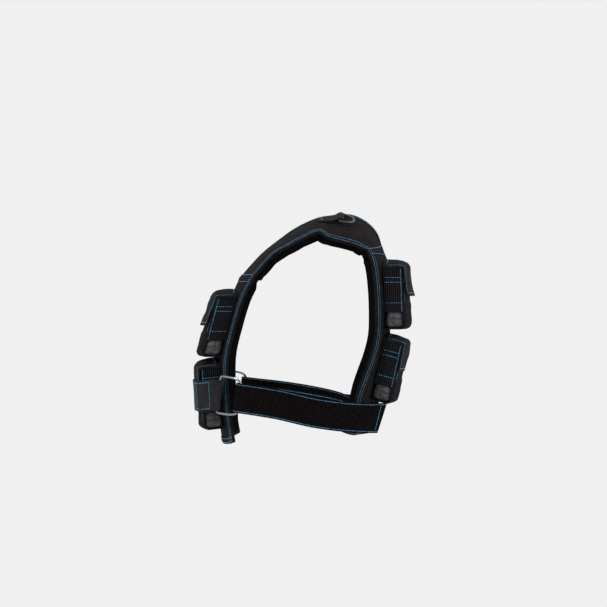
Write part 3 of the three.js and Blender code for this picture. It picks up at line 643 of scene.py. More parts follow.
# %% Stitches
STITCH_PITCH = 4.0
STITCH_LENGTH = 3.3
STITCH_WIDTH = 1.1
STITCH_HEIGHT = 0.77
bpy.ops.mesh.primitive_uv_sphere_add(segments=8, ring_count=5, radius=0.5)
stitch = bpy.context.object
bpy.ops.object.mode_set(mode="EDIT")
bpy.ops.mesh.select_all(action="SELECT")
bpy.ops.transform.rotate(value=math.pi / 2, orient_axis="Y")
bpy.ops.mesh.normals_make_consistent(inside=False)
bpy.ops.object.mode_set(mode="OBJECT")
stitch_points = np.array([v.co for v in stitch.data.vertices])
stitch_faces = [list(face.vertices) for face in stitch.data.polygons]
bpy.data.objects.remove(stitch)
print("one stitch has", len(stitch_faces), "faces")


def row_of(points, normals):
    """The place, direction and normal of each stitch along a line of points."""
    normals = np.broadcast_to(normals, points.shape)
    length = lengths_along(points)
    count = max(int(length[-1] / STITCH_PITCH), 1)
    at = (np.arange(count) + 0.5) * length[-1] / count
    run = places_at(at + 1, length, points) - places_at(at - 1, length, points)
    return np.stack([places_at(at, length, points), unit(run), unit(places_at(at, length, normals))],
                    axis=1)


def row_over(outer, inner, lift=0.15):
    """A row on the outer of two lines of points, lifted a little away from the inner one."""
    out = unit(outer - inner)
    return row_of(outer + lift * out, out)


def sew(name, rows, slot):
    """One mesh with a copy of the stitch at every place of the rows."""
    rows = np.concatenate(rows)
    place, run, normal = rows[:, 0], rows[:, 1], rows[:, 2]
    side = unit(np.cross(normal, run))
    normal = np.cross(run, side)
    points = place[:, None]
    sizes = (STITCH_LENGTH, STITCH_WIDTH, STITCH_HEIGHT)
    for k, (direction, size) in enumerate(zip((run, side, normal), sizes)):
        points = points + (stitch_points[:, k] * size)[None, :, None] * direction[:, None]
    count = len(stitch_points)
    faces = [[i + k * count for i in face] for k in range(len(place)) for face in stitch_faces]
    piece = put_in_scene(name, points.reshape(-1, 3), faces, blue_thread)
    smooth_look(piece, 60)
    register(piece, slot)


# %% [markdown]
# ## The padded shell of each panel
# The outer cloth is sewn over thin foam, so the panel swells softly between its seams and puckers
# beside its edges. The pouches are sewn on to it and hide most of it.

# %% Panel shells
EDGE_ROW = 12
PANEL_LUMPS = 28
MOST_PANEL_SWELL = 0.5


def panel_shell(panel):
    u = np.linspace(-1, 1, 79)[None, :]
    v = np.linspace(0, 1, 73)[:, None]
    place = panel.inside(u, v, 0, 0.0)
    x, z = place[..., 0], place[..., 2]
    from_side = np.maximum(panel.half_width(z) - np.abs(x), 0)
    from_hem = z + panel.hem_drop
    from_top = -panel.seam_drop - z
    soft = 0.5 * swells(place, PANEL_LUMPS, panel.facing * 3.0) - 0.35
    soft = soft + 0.35 * puckers(z, from_side - EDGE_ROW)
    soft = soft + 0.3 * puckers(x, from_hem - EDGE_ROW) + 0.3 * puckers(x, from_top - EDGE_ROW + 2)
    return (panel.inside(u, v, 0, np.minimum(soft, MOST_PANEL_SWELL)),
            panel.inside(u, v, 0, 0.2 - SHELL))


for place_name, panel in PANELS.items():
    grids = panel_shell(panel)
    padded_piece(place_name + "_shell", grids, shell_cloth, 1.2, "shell_cloth", place_name + "_panel")
print("each shell is drawn from", grids[0][..., 0].size, "places")

# %% [markdown]
# ## The shoulder straps
# The straps are the same padded cloth. They swell most in the middle and pucker along both edges,
# where the tape is sewn over them. The right one is the left one mirrored.

# %% Shoulder straps
STRAP_LUMPS = 24
MOST_STRAP_SWELL = 0.8


def strap_shell():
    w = np.linspace(0, 1, 27)[None, :]
    station = np.linspace(0.02, STRAP_LAST - 0.02, 81)[:, None]
    width = strap_width(station)
    soft = 0.7 * swells(strap_point(station, w), STRAP_LUMPS, 5.0) - 0.3
    soft = soft + 0.45 * puckers(station * STATION, w * width - EDGE_ROW)
    soft = soft + 0.45 * puckers(station * STATION + 4, (1 - w) * width - EDGE_ROW)
    return (strap_at(station, w, np.minimum(soft, MOST_STRAP_SWELL)),
            strap_at(station, w, 0.2 - SHELL))


strap_grids = strap_shell()
for side, turn in SIDES:
    padded_piece("strap_shell_" + side, map(turn, strap_grids), shell_cloth, 1.2, "shell_cloth",
                 "shoulder_strap_" + side)

# %% [markdown]
# ## The mesh lining
# A thick spacer mesh keeps the load off the body and lets air through. It is quilted: lines of
# stitching pull channels into the side that touches the wearer.

# %% Mesh lining
QUILT_PITCH = 28.0
PAD_ROUNDING = 6
THIN_EDGE = 2.5
CHANNEL = 1.5


def pad_thickness(edge, along):
    """The pad's thickness: rounded off near its edge, with the quilting's channels along it."""
    rounded = 1 - np.clip(1 - edge / PAD_ROUNDING, 0, 1) ** 2
    quilted = np.abs(np.sin(math.pi * (along + QUILT_PITCH / 2) / QUILT_PITCH)) ** 0.6
    return THIN_EDGE + (LINING - THIN_EDGE - CHANNEL + CHANNEL * quilted) * rounded


def panel_pad(panel):
    u = np.linspace(-1, 1, 73)[None, :]
    v = np.linspace(0, 1, 69)[:, None]
    x = panel.inside(u, v, LINING_INSET, LINING_OUTER)[..., 0]
    edge = np.minimum(np.minimum(1 - np.abs(u), v) * 120, (1 - v) * 140)
    thick = pad_thickness(edge, x) * mix(0.35, 1.0, eased(v / 0.22))
    return [panel.inside(u, v, LINING_INSET, LINING_OUTER - depth) for depth in (0, thick)]


def strap_pad():
    w = np.linspace(0.06, 0.94, 23)[None, :]
    station = np.linspace(0.2, STRAP_LAST - 0.2, 77)[:, None]
    thick = pad_thickness(np.minimum(w - 0.06, 0.94 - w) * 95, station * STATION)
    return [strap_at(station, w, LINING_OUTER - depth) for depth in (0, thick)]


for place_name, panel in PANELS.items():
    padded_piece(place_name + "_pad", panel_pad(panel), spacer_mesh, 0.8, "lining_mesh",
                 place_name + "_lining")
pad_grids = strap_pad()
for side, turn in SIDES:
    padded_piece("strap_pad_" + side, map(turn, pad_grids), spacer_mesh, 0.8, "lining_mesh",
                 "shoulder_lining_" + side)

# %% [markdown]
# ## Tape over the edges
# A folded tape covers every raw edge of the shell and holds it shut. Its cross-section is a narrow
# U, drawn once as distances in from the edge and out of the cloth, then laid along each edge.

# %% Edge tape section
TAPE_IN = np.array([10.6, 10.2, 8.5, 6.5, 4.5, 2.2, 0.5, -0.5, -0.8, -0.5, 0.5, 3.0, 5.5])
TAPE_OUT = np.array([0.35, 0.75, 0.85, 1.15, 1.15, 0.85, 0.75, 0.2, -2.0, -4.0, -4.55, -4.6, -4.6])
TAPE_IN_BACK = np.array([10.6, 10.2, 8.5, 6.5, 4.5, 2.2, 0.7, 0.1, -0.2, 0.1, 0.7, 3.0, 5.5])
TAPE_OUT_BACK = np.array([-0.3, -0.3, -0.3, -0.3, -0.3, -0.3, -0.2, -0.6, -2.0, -3.4, -4.0, -4.1, -4.1])
ROW_INS = (2.3, 8.4)
OVER_STRAP = np.linspace(0.06, STRAP_LAST - 0.06, 74)[:, None]


def arm_edge_places(distance, out):
    """The armhole edge of the left side, from the front hem over the shoulder to the back hem."""
    parts = []
    for panel in (front, back):
        v = np.linspace(0, 0.997, 74)[:, None]
        edge = panel.half_width(mix(-panel.hem_drop, -panel.seam_drop, v))
        z = mix(panel.hem_at(edge), panel.top_at(edge), v)
        parts.append(panel.at(edge - distance, z, out))
    over = strap_at(OVER_STRAP, 1 - distance / strap_width(OVER_STRAP), out)
    return np.concatenate([parts[0], over, parts[1][::-1]])


def strap_neck_places(distance, out):
    return strap_at(OVER_STRAP, distance / strap_width(OVER_STRAP), out)


def neckline_places(panel):
    x = np.linspace(-NECK_SEAM_HALF_WIDTH - 3, NECK_SEAM_HALF_WIDTH + 3, 36)[:, None]
    return lambda distance, out: panel.at(x, panel.top_at(x) - distance, out)


def hem_places(panel):
    edge = panel.half_width(-panel.hem_drop) - 0.5
    x = np.linspace(-edge, edge, 80)[:, None]
    return lambda distance, out: panel.at(x, panel.hem_at(x) + distance, out)

# %% [markdown]
# ## Sewing the tape
# Two rows of blue thread hold the tape, one near each of its edges. The tape dips a little under
# each row, so the light catches the ridge between them.

# %% Edge tapes and their rows
def tape_along(name, places, turn=np.array):
    outer = places(TAPE_IN, TAPE_OUT)
    inner = places(TAPE_IN_BACK, TAPE_OUT_BACK)
    wave = puckers(lengths_along(outer[:, 4]), 0.0, 7.0)[:, None, None]
    raised = np.where((TAPE_IN > 3) & (TAPE_OUT > 0), 1.0, 0.2)[None, :, None]
    outer = outer + unit(outer - inner) * wave * raised * 0.22
    sheet_piece(name, (turn(outer), turn(inner)), tape_cloth, 0, "shell_cloth", ())
    rows = []
    for at in ROW_INS:
        line, under = [turn(places(np.array([at]), np.array([out]))[:, 0]) for out in (1.0, 0.0)]
        rows.append(row_over(line, under, 0))
    return rows


edge_rows = []
for side, turn in SIDES:
    edge_rows += tape_along("arm_tape_" + side, arm_edge_places, turn)
    edge_rows += tape_along("strap_neck_tape_" + side, strap_neck_places, turn)
for place_name, panel in PANELS.items():
    edge_rows += tape_along("neck_tape_" + place_name, neckline_places(panel))
    edge_rows += tape_along("hem_tape_" + place_name, hem_places(panel))

# %% [markdown]
# ## The seams at the ends of the straps
# Where a strap meets a panel, the two edges are lapped and sewn with two rows across. A narrow
# strip of the same cloth covers the join. At the neck it lies over the ends of the tapes and is
# folded round the edge, so that no raw end shows.

# %% Strap seams
# The strip's section is how far each place is past the seam and out of the cloth. Round the neck
# edge, each place is a share of the strap's width and a distance out.
SEAM_PROFILE = ((-7, 0.2), (-6.2, 0.95), (-3, 1.0), (0, 1.15), (3, 1.0), (6.2, 0.95), (7, 0.2))
SEAM_FLAT = np.linspace(0.06, 0.92, 27)
OVER_TAPE = 1.1 * (1 - eased((SEAM_FLAT - 0.11) / 0.05))
UNDER_STRIP = np.full(SEAM_FLAT.shape, -0.4)
FOLD_OUTER = ((0.035, -5.3), (0.0, -5.3), (-0.014, -4.6), (-0.014, 0.2), (-0.004, 1.3), (0.02, 1.2))
FOLD_INNER = ((0.035, -4.6), (0.006, -4.6), (-0.004, -4.0), (-0.004, -0.4), (0.006, -0.4), (0.02, -0.4))
ON_TOP = 4


def seam_grid(panel, fold, on_top):
    """The strip's outer face when it is on top, or else the face that lies on the seam."""
    end, inwards = (0, 1) if panel is front else (STRAP_LAST, -1)
    fold_w, fold_out = np.array(fold).T
    w = np.concatenate([fold_w, SEAM_FLAT])
    rows = []
    for distance, out in SEAM_PROFILE:
        height = np.concatenate([fold_out, out + OVER_TAPE if on_top else UNDER_STRIP])
        if on_top:
            height[ON_TOP:len(fold_w)] += out - 0.95
        if distance < 0:
            x, z = seam_place(panel, w)
            rows.append(panel.at(x, z - SEAM_GAP + distance, height))
        else:
            rows.append(strap_at(end + inwards * distance / STATION, w, height))
    return np.stack(rows)


def seam_strip(name, panel, turn):
    outer = turn(seam_grid(panel, FOLD_OUTER, True))
    inner = turn(seam_grid(panel, FOLD_INNER, False))
    sheet_piece(name, (outer, inner), shell_cloth, 0, "shell_cloth", ())
    return [row_over(outer[k][ON_TOP:], inner[k][ON_TOP:], 0.1) for k in (1, 5)]


for side, turn in SIDES:
    for place_name, panel in PANELS.items():
        edge_rows += seam_strip("strap_seam_" + place_name + "_" + side, panel, turn)
sew("edge_stitches", edge_rows, "shell_cloth")
print("edge rows have", sum(len(row) for row in edge_rows), "stitches")

# %% [markdown]
# ## The place of each pouch
# Three pouches side by side and two rows deep sit on each panel. Each has its own small frame: s
# across it, t down from its mouth and n out of the panel. A pouch drawn once in s, t and n can
# then be laid in all twelve places, and only its back edge differs, where it meets the panel.

# %% Pouch frames
# Each row of pouches has its panel, its drop from the shoulder and the shape of its flaps: how far
# they hang down, how much they dome over the mouth and how far they lift off at the end.
ROWS = {
    "front_upper": (front, 113, {"length": 50, "crown": 11, "lift": 5}),
    "front_lower": (front, LOWER_FRONT_DROP, {"length": 44, "crown": 9, "lift": 0}),
    "back_upper": (back, 63, {"length": 48, "crown": 11, "lift": 5}),
    "back_lower": (back, 185, {"length": 47, "crown": 6, "lift": 0}),
}
COLUMNS = {"left": 1, "middle": 0, "right": -1}


class PouchFrame:
    def __init__(self, row, column):
        self.row = row
        self.name = row + "_" + column
        self.shell = row.split("_")[0] + "_shell"
        self.panel, drop, self.flap = ROWS[row]
        panel, x = self.panel, COLUMNS[column] * COLUMN_PITCH
        self.mouth = panel.point(x, -drop)
        self.down = unit(panel.point(x, -drop - POUCH_HEIGHT) - self.mouth)
        middle = panel.normal(x, -drop - POUCH_HEIGHT / 2)
        self.out = unit(xyz(middle[0], middle[1], min(middle[2], 0)))
        across = unit(xyz(-self.out[1] * panel.facing, self.out[0] * panel.facing, 0))
        self.across = across if across[0] > 0 else -across

    def at(self, s, t, n):
        s, t, n = np.broadcast_arrays(np.asarray(s, float), t, n)
        return self.mouth + s[..., None] * self.across + t[..., None] * self.down + n[..., None] * self.out

    def ground(self, s, t):
        """How far out the panel's face is under a place on the pouch."""
        n = np.zeros(np.broadcast(s, t).shape)
        for _ in range(8):
            p = self.at(s, t, n)
            n = n - (self.panel.facing * p[..., 1] - self.panel.depth(p[..., 0], p[..., 2]))
        return n


pouches = [PouchFrame(row, column) for row in ROWS for column in COLUMNS]
print(len(pouches), "pouches")

# %% [markdown]
# ## The sling of a pouch
# One strip of cloth makes the bottom and the front of a pouch. It hangs from the panel, runs out
# under the bag, turns up round a soft corner and ends in a hem at the mouth. The weight pushes
# its lower part out.

# %% Sling
SEAT = 2 * SEWN_GAP
SLING_CLOTH = 1.8


def sling_path():
    """Places along the sling as t and n, with its outward direction. The first part has its n
    as a share of the way from the panel to the corner."""
    corner_t, corner_n = POUCH_HEIGHT - POUCH_CORNER, POUCH_DEPTH - POUCH_CORNER
    path = [(POUCH_HEIGHT, None, share, 1.0, 0.0) for share in np.linspace(0, 0.96, 8)]
    for a in np.radians(np.linspace(0, 90, 8)):
        down_part, out_part = math.cos(a), math.sin(a)
        path.append((corner_t + POUCH_CORNER * down_part, corner_n + POUCH_CORNER * out_part,
                     1.0, down_part, out_part))
    path += [(share * corner_t, POUCH_DEPTH, 1.0, 0.0, 1.0) for share in np.linspace(1, 0, 34)[1:]]
    return path


def lay_sling(place, seed):
    s = np.linspace(-POUCH_HALF, POUCH_HALF, 29)
    edge = np.clip((np.abs(s) - (POUCH_HALF - 4)) / 4, 0, 1) ** 2
    bulge, start = (1.6, 70) if place.row == "front_lower" else (3.8, 50)
    grids = ([], [])
    for t, n, share, down_part, out_part in sling_path():
        swell = bulge * (1 - (s / POUCH_HALF) ** 4) * eased((t - start) / 18) * eased((112 - t) / 20)
        band = 0.5 * np.cos(s * 0.55 + t * 0.21 + seed) * eased((t - 40) / 30)
        for cloth, grid in zip((0, SLING_CLOTH), grids):
            level = t - down_part * (cloth + edge * 1.2)
            if n is None:
                away = mix(place.ground(s, level) + SEAT, POUCH_DEPTH - POUCH_CORNER, share)
            else:
                away = n + out_part * (swell + band - cloth - edge * 2.2)
            grid.append(place.at(s, level, away))
    bump = swells(np.array(grids[0]), 13, seed)[..., None] * place.out * 0.7
    sheet_piece("sling_" + place.name, [grid + bump for grid in grids], pouch_cloth, 0.5, "pouch_cloth",
                ["pouch_" + place.name])

# %% [markdown]
# ## The elastic sides of a pouch
# Each side is a band of ribbed elastic from the mouth to three quarters of the way down. Three rows
# of thread cross it, two near the top and one lower, and the elastic swells a little between them.
# Under the band the pouch is open, and the bag shows.

# %% Elastic sides
SIDE_ROWS = (17.0, 25.0, 60.0)
ELASTIC_CLOTH = 1.6


def lay_side(place, side, hand):
    t = np.linspace(0, SIDE_BAND_HEIGHT, 39)[:, None]
    share = np.linspace(0, 1, 13)[None, :]
    swell = 0.55 - 0.75 * sum(np.exp(-(((t - row) / 2.4) ** 2)) for row in SIDE_ROWS)
    swell = swell * np.sin(math.pi * np.clip(share, 0.02, 0.98)) ** 0.5
    grids = []
    for cloth in (0, ELASTIC_CLOTH):
        s = hand * (POUCH_HALF + swell - cloth - 0.1)
        n = mix(place.ground(s, t) + SEAT, POUCH_DEPTH - 1.4, share)
        grids.append(place.at(s, t, n))
    sheet_piece("elastic_" + place.name + "_" + side, grids, elastic_rib, 0.5, "pouch_cloth", ())

# %% [markdown]
# ## Stitch rows on a pouch
# The rows cross both sides and run on over the front. A further row runs down each front edge,
# where the elastic is sewn to the sling.

# %% Stitch rows of a pouch
def pouch_rows(place):
    rows = []
    for t in SIDE_ROWS:
        for hand in (-1, 1):
            n = np.linspace(1.5, POUCH_DEPTH - 2.5, 12)
            n = np.maximum(n, place.ground(hand * POUCH_HALF, t + 0 * n) + SEAT)
            rows.append(row_of(place.at(hand * (POUCH_HALF + 0.15), t, n), place.across * hand))
        s = np.linspace(-POUCH_HALF + 3, POUCH_HALF - 3, 20)
        rows.append(row_of(place.at(s, t, POUCH_DEPTH + 0.3), place.out))
    for hand in (-1, 1):
        t = np.linspace(2, SIDE_BAND_HEIGHT - 1, 24)
        line = place.at(hand * (POUCH_HALF + 0.2), t, POUCH_DEPTH - 4.2)
        rows.append(row_of(line, place.across * hand))
        t = np.linspace(2, POUCH_HEIGHT - 9, 30)
        line = place.at(hand * (POUCH_HALF - 4.2), t, POUCH_DEPTH + 0.2)
        rows.append(row_of(line, place.out))
    return rows


pouch_stitches = {row: [] for row in ROWS}
for number, place in enumerate(pouches):
    lay_sling(place, number * 1.7)
    for side, hand in (("left", 1), ("right", -1)):
        lay_side(place, side, hand)
    pouch_stitches[place.row] += pouch_rows(place)
for row, rows in pouch_stitches.items():
    sew("pouch_stitches_" + row, rows, "pouch_cloth")
print("pouches sewn")

# %% [markdown]
# ## A weight bag
# A bag is a closed sleeve of nylon filled with iron sand, which packs into a soft block. Cloth
# that is blown up a little from inside takes such a shape, so the bag is a rounded box that a
# short cloth simulation fills. No corner may move further than a few millimetres.

# %% One weight bag
BAG_CLEAR = 2.4
BAG_HALF = POUCH_HALF - BAG_CLEAR
BAG_FLOOR = POUCH_HEIGHT - BAG_CLEAR
BAG_LENGTH = BAG_FLOOR + 3
BAG_OUTER = POUCH_DEPTH - BAG_CLEAR
MOST_MOVED = 2.5
CLOTH_SETTINGS = {"quality": 6, "mass": 0.2, "use_pressure": True, "uniform_pressure_force": 4.0,
                  "tension_stiffness": 12, "compression_stiffness": 12, "bending_stiffness": 0.4}
bpy.ops.mesh.primitive_cube_add(size=1)
bag = bpy.context.object
bag.name = "bag_pattern"
bpy.ops.object.mode_set(mode="EDIT")
bpy.ops.mesh.select_all(action="SELECT")
bpy.ops.transform.resize(value=(2 * BAG_HALF * MM, BAG_LENGTH * MM, BAG_OUTER * MM))
bpy.ops.object.mode_set(mode="OBJECT")
round_rim(bag, 7, 3)
only_select(bag)
bag.data.remesh_voxel_size = 0.0045
bpy.ops.object.voxel_remesh()
rest_places = np.array([v.co for v in bag.data.vertices])
cloth = bag.modifiers.new("cloth", "CLOTH")
for key, value in CLOTH_SETTINGS.items():
    setattr(cloth.settings, key, value)
cloth.settings.effector_weights.gravity = 0
cloth.point_cache.frame_start = 1
cloth.point_cache.frame_end = 20
for step in range(1, 21):
    bpy.context.scene.frame_set(step)
only_select(bag)
bpy.ops.object.modifier_apply(modifier="cloth")
bpy.context.scene.frame_set(1)
moved = np.array([v.co for v in bag.data.vertices]) - rest_places
far = np.linalg.norm(moved, axis=1, keepdims=True)
bag_places = (rest_places + moved * np.minimum(1, MOST_MOVED * MM / np.maximum(far, 1e-9))) / MM
bag_faces = [list(face.vertices) for face in bag.data.polygons]
bpy.data.objects.remove(bag)
print("the bag moved by up to", round(float(far.max()) / MM, 1), "mm and has", len(bag_faces), "faces")

# %% [markdown]
# ## The twelve bags
# The one bag is laid into every pouch. Its back follows the panel behind it and its front stays
# inside the sling. A different noise in each pouch makes its own creases.

# %% Twelve weight bags
def lay_bag(place, seed):
    s, t, depth = bag_places.T
    s = np.clip(s, -BAG_HALF - 0.3, BAG_HALF + 0.3)
    t = np.clip(t, -BAG_LENGTH / 2 - 0.5, BAG_LENGTH / 2 + 0.8) + BAG_LENGTH / 2 - 3
    n = mix(place.ground(s, t) + 1.2, BAG_OUTER, np.clip(depth / BAG_OUTER + 0.5, 0, 1))
    points = place.at(s, t, n)
    crease = 0.5625 * swells(points, 9, (seed, 0, 0)) + 0.3125 * swells(points, 4, (0, seed, 0))
    under_band = eased((t - SIDE_BAND_HEIGHT - 1) / 6) * eased((np.abs(s) - 20) / 14)
    points = points + (np.sign(s) * under_band * (2.6 + crease))[:, None] * place.across
    flat = np.stack([s + n, t + 0.3 * n], axis=-1) * MM
    piece = put_in_scene("bag_" + place.name, points, bag_faces, bag_nylon, flat)
    smooth_look(piece, 60)
    register(piece, "bag_nylon", "weight_bag_" + place.name)


for number, place in enumerate(pouches):
    lay_bag(place, number * 2.3)

# %% [markdown]
# ## The flaps
# A flap is two layers of cloth sewn together. It starts at a seam on the panel, domes over the
# mouth of the pouch and hangs down its front, and its side edges droop over the elastic.

# %% Flaps
def flap_curve(length, lift):
    """Each knot has t and n, its shares of the dome and of the bulge, and its outward direction."""
    over = -(FLAP_CLOTH + 2.5 * SEWN_GAP)
    face = POUCH_DEPTH + SEWN_GAP + FLAP_CLOTH
    knots = np.array([
        (over, 0.0, 1.0, 0.0, -1.0, 0.0),
        (over, face * 0.45, 1.0, 0.0, -1.0, 0.0),
        (over, face * 0.78, 0.8, 0.0, -1.0, 0.0),
        (over + 0.9, face - 0.9, 0.5, 0.3, -0.7, 0.7),
        (over + 5, face, 0.15, 0.7, 0.0, 1.0),
        (length * 0.55, face + lift * 0.35, 0.0, 1.0, 0.0, 1.0),
        (length, face + lift, 0.0, 0.6, 0.0, 1.0),
    ])
    reach = lengths_along(knots[:, :2])
    return [through(reach, column) for column in knots.T], reach[-1]


def flap_grids(place, seed):
    curves, whole = flap_curve(place.flap["length"], place.flap["lift"])
    along = np.linspace(0, whole, 34)[:, None]
    t, n, rise, bulge, t_out, n_out = [curve(along) for curve in curves]
    size = np.hypot(t_out, n_out)
    t_out, n_out = t_out / size, n_out / size
    share = np.linspace(-1, 1, 31)[None, :]
    s = share * FLAP_HALF_WIDTH
    hand = np.sign(s)
    middle = 1 - share ** 2
    droop = np.clip((np.abs(s) - (FLAP_HALF_WIDTH - 4.5)) / 4.5, 0, 1) ** 1.6
    grids = []
    for cloth in (0.0, 1.0):
        depth = cloth * mix(FLAP_CLOTH, 1.5, droop)
        level = t - rise * place.flap["crown"] * middle - t_out * (depth + droop * 4.6)
        away = n + bulge * 1.2 * middle - n_out * (depth + droop * 1.6)
        ground = place.ground(s, level) + SEAT
        away = np.where(along < 1e-6, ground, np.maximum(away, ground))
        grids.append(place.at(s + hand * droop * (0.9 - cloth * 1.2), level, away))
    wave = swells(grids[0], 17, seed) * eased(along / 12)
    tip = eased((along - whole * 0.7) / (whole * 0.3)) * np.sin(share * 4 + seed) * 1.2
    move = (wave + tip)[..., None] * (place.out * n_out[..., None] + place.down * t_out[..., None])
    return [grid + move for grid in grids]


def flap_rows(grids):
    """Stitches near the two side edges and the free end, and across the seam on the panel."""
    sides, across = slice(2, -1), slice(2, -2)
    lines = ((sides, 1), (sides, -2), (-3, across), (2, across))
    return [row_over(grids[0][line], grids[1][line]) for line in lines]


flap_stitches = {row: [] for row in ROWS}
for number, place in enumerate(pouches):
    grids = flap_grids(place, number * 3.1)
    sheet_piece("flap_cloth_" + place.name, grids, flap_cloth, 0.5, "flap_cloth",
                ["flap_" + place.name])
    flap_stitches[place.row] += flap_rows(grids)
for row, rows in flap_stitches.items():
    sew("flap_stitches_" + row, rows, "flap_cloth")
print("flaps sewn")

# %% [markdown]
# ## Belts
# A belt is a flat strap that stands on edge and follows a line round the body. The line is a smooth
# curve through a few places, divided evenly.

# %% Belt helper
def smooth_line(points, count):
    """Even places on the centripetal curve through the points, the ends carried straight on."""
    p = np.array(points, float)
    p = np.concatenate([[2 * p[0] - p[1]], p, [2 * p[-1] - p[-2]]])
    u = np.linspace(0, 1, 40, endpoint=False)[:, None]
    dense = []
    for i in range(1, len(p) - 2):
        a, b, c, d = p[i - 1:i + 3]
        before, step, after = [max(float(np.sum((m - k) ** 2)) ** 0.25, 1e-4)
                               for k, m in ((a, b), (b, c), (c, d))]
        start = ((b - a) / before - (c - a) / (before + step) + (c - b) / step) * step
        end = ((c - b) / step - (d - b) / (step + after) + (d - c) / after) * step
        dense.append((2 * b - 2 * c + start + end) * u ** 3
                     + (-3 * b + 3 * c - 2 * start - end) * u ** 2 + start * u + b)
    dense = np.concatenate([*dense, p[-2][None]])
    length = lengths_along(dense)
    return places_at(np.linspace(0, length[-1], count + 1), length, dense)


def belt_grids(points, rises, width, cloth, slant=0):
    """The two faces of a belt along a line, where the rises say which way its edge stands. The
    last places are pushed along by up to the slant, half of it at each edge."""
    run = unit(np.gradient(points, axis=0))
    edge = unit(rises - run * np.sum(run * rises, axis=1, keepdims=True))
    half = np.cross(run, edge)[:, None] * cloth / 2
    cut = np.zeros((len(points), 1))
    cut[-10:, 0] = np.linspace(0, slant, 10)
    share = np.linspace(-0.5, 0.5, 11)[None, :, None]
    middle = points[:, None] + (edge * width + run * cut)[:, None] * share
    return middle + half, middle - half


def belt_row(outer, inner, share, part=slice(None)):
    """A row of stitches along a part of the belt at a share of its width, on the outer grid."""
    at = share * (outer.shape[1] - 1)
    i = int(at)
    return row_over(*[mix(grid[part, i], grid[part, i + 1], at - i) for grid in (outer, inner)])

# %% [markdown]
# ## The steel rings
# Each belt ring is one piece of wire with a straight bar for the webbing and a wide round side for
# the belt. It turns out from the side and leans back a little, as the belt pulls on it.

# %% Rings
def tube(name, line, material, slot, node, sides=14):
    """A closed loop of round wire along a line of places in one plane."""
    run = unit(np.roll(line, -1, axis=0) - np.roll(line, 1, axis=0))
    middle = line.mean(axis=0)
    facing = unit(np.cross(line[0] - middle, line[len(line) // 4] - middle))
    side = unit(np.cross(run, facing))[:, None]
    angle = np.linspace(0, 2 * math.pi, sides, endpoint=False)[None, :, None]
    rings = line[:, None] + (side * np.cos(angle) + facing * np.sin(angle)) * RING_WIRE / 2
    ids = np.arange(len(line) * sides).reshape(-1, sides)
    beside = np.roll(ids, -1, axis=1)
    faces = np.stack([ids, beside, np.roll(beside, -1, axis=0), np.roll(ids, -1, axis=0)], axis=-1)
    piece = put_in_scene(name, rings.reshape(-1, 3), faces.reshape(-1, 4).tolist(), material)
    smooth_look(piece, 60)
    register(piece, slot, node)


def ring_line(centre, away, upright, length, half_height, squareness):
    """Even places round a ring with a straight bar at its centre and a wide side away from it."""
    angle = np.radians(np.linspace(-90, 90, 73))
    power = 2 / squareness
    bar = np.linspace(1, -1, 26)[1:-1]
    a = np.concatenate([np.abs(np.cos(angle)) ** power, 0 * bar]) * length
    b = np.concatenate([np.sign(np.sin(angle)) * np.abs(np.sin(angle)) ** power, bar]) * half_height
    closed = centre + a[:, None] * away + b[:, None] * upright
    closed = np.concatenate([closed, closed[:1]])
    reach = lengths_along(closed)
    even = places_at(np.linspace(0, reach[-1], 97)[:-1], reach, closed)
    for _ in range(3):
        even = (np.roll(even, 1, axis=0) + 2 * even + np.roll(even, -1, axis=0)) / 4
    return even


RING_TURN = math.radians(23)
RING_LEAN = math.radians(-7)
ring_out = np.array([math.cos(RING_TURN), -math.sin(RING_TURN), 0.0])


def leaned(vector):
    c, s = math.cos(RING_LEAN), math.sin(RING_LEAN)
    return vector * c + np.cross(ring_out, vector) * s + ring_out * np.dot(ring_out, vector) * (1 - c)


ring_away = leaned(np.array([math.sin(RING_TURN), math.cos(RING_TURN), 0.0]))
ring_up = leaned(np.array([0.0, 0.0, 1.0]))
# The middle of the left ring's bar.
ring_bar = np.array([PANEL_HALF_WIDTH + 3.0, -153.0, -276.5])


def ring_place(away, out, up=0.0):
    return ring_bar + ring_away * away + ring_out * out + ring_up * up


belt_ring = ring_line(ring_bar, ring_away, ring_up, BELT_RING_LENGTH, BELT_RING_HALF_HEIGHT, 5.2)
for side, turn in SIDES:
    tube("steel_ring_" + side, turn(belt_ring), bright_steel, "bright_steel", "belt_ring_" + side)

# %% [markdown]
# ## The front belt
# Webbing runs across the lower pouches and through the bar of each ring, then doubles back and is
# sewn down with a box of stitches.

# %% Front belt
# Half of the outer layer has 66 places. The box of stitches is between two places along Y.
OUTER_COUNT = 66
BOX_FROM, BOX_TO = -196, -169


def fold_round(away, radius, up, hand):
    """Half a turn of a belt round the wire of the ring."""
    angles = np.linspace(-math.pi / 2, math.pi / 2, 13)
    return np.array([ring_place(away + hand * radius * math.cos(a), radius * math.sin(a), up)
                     for a in angles])


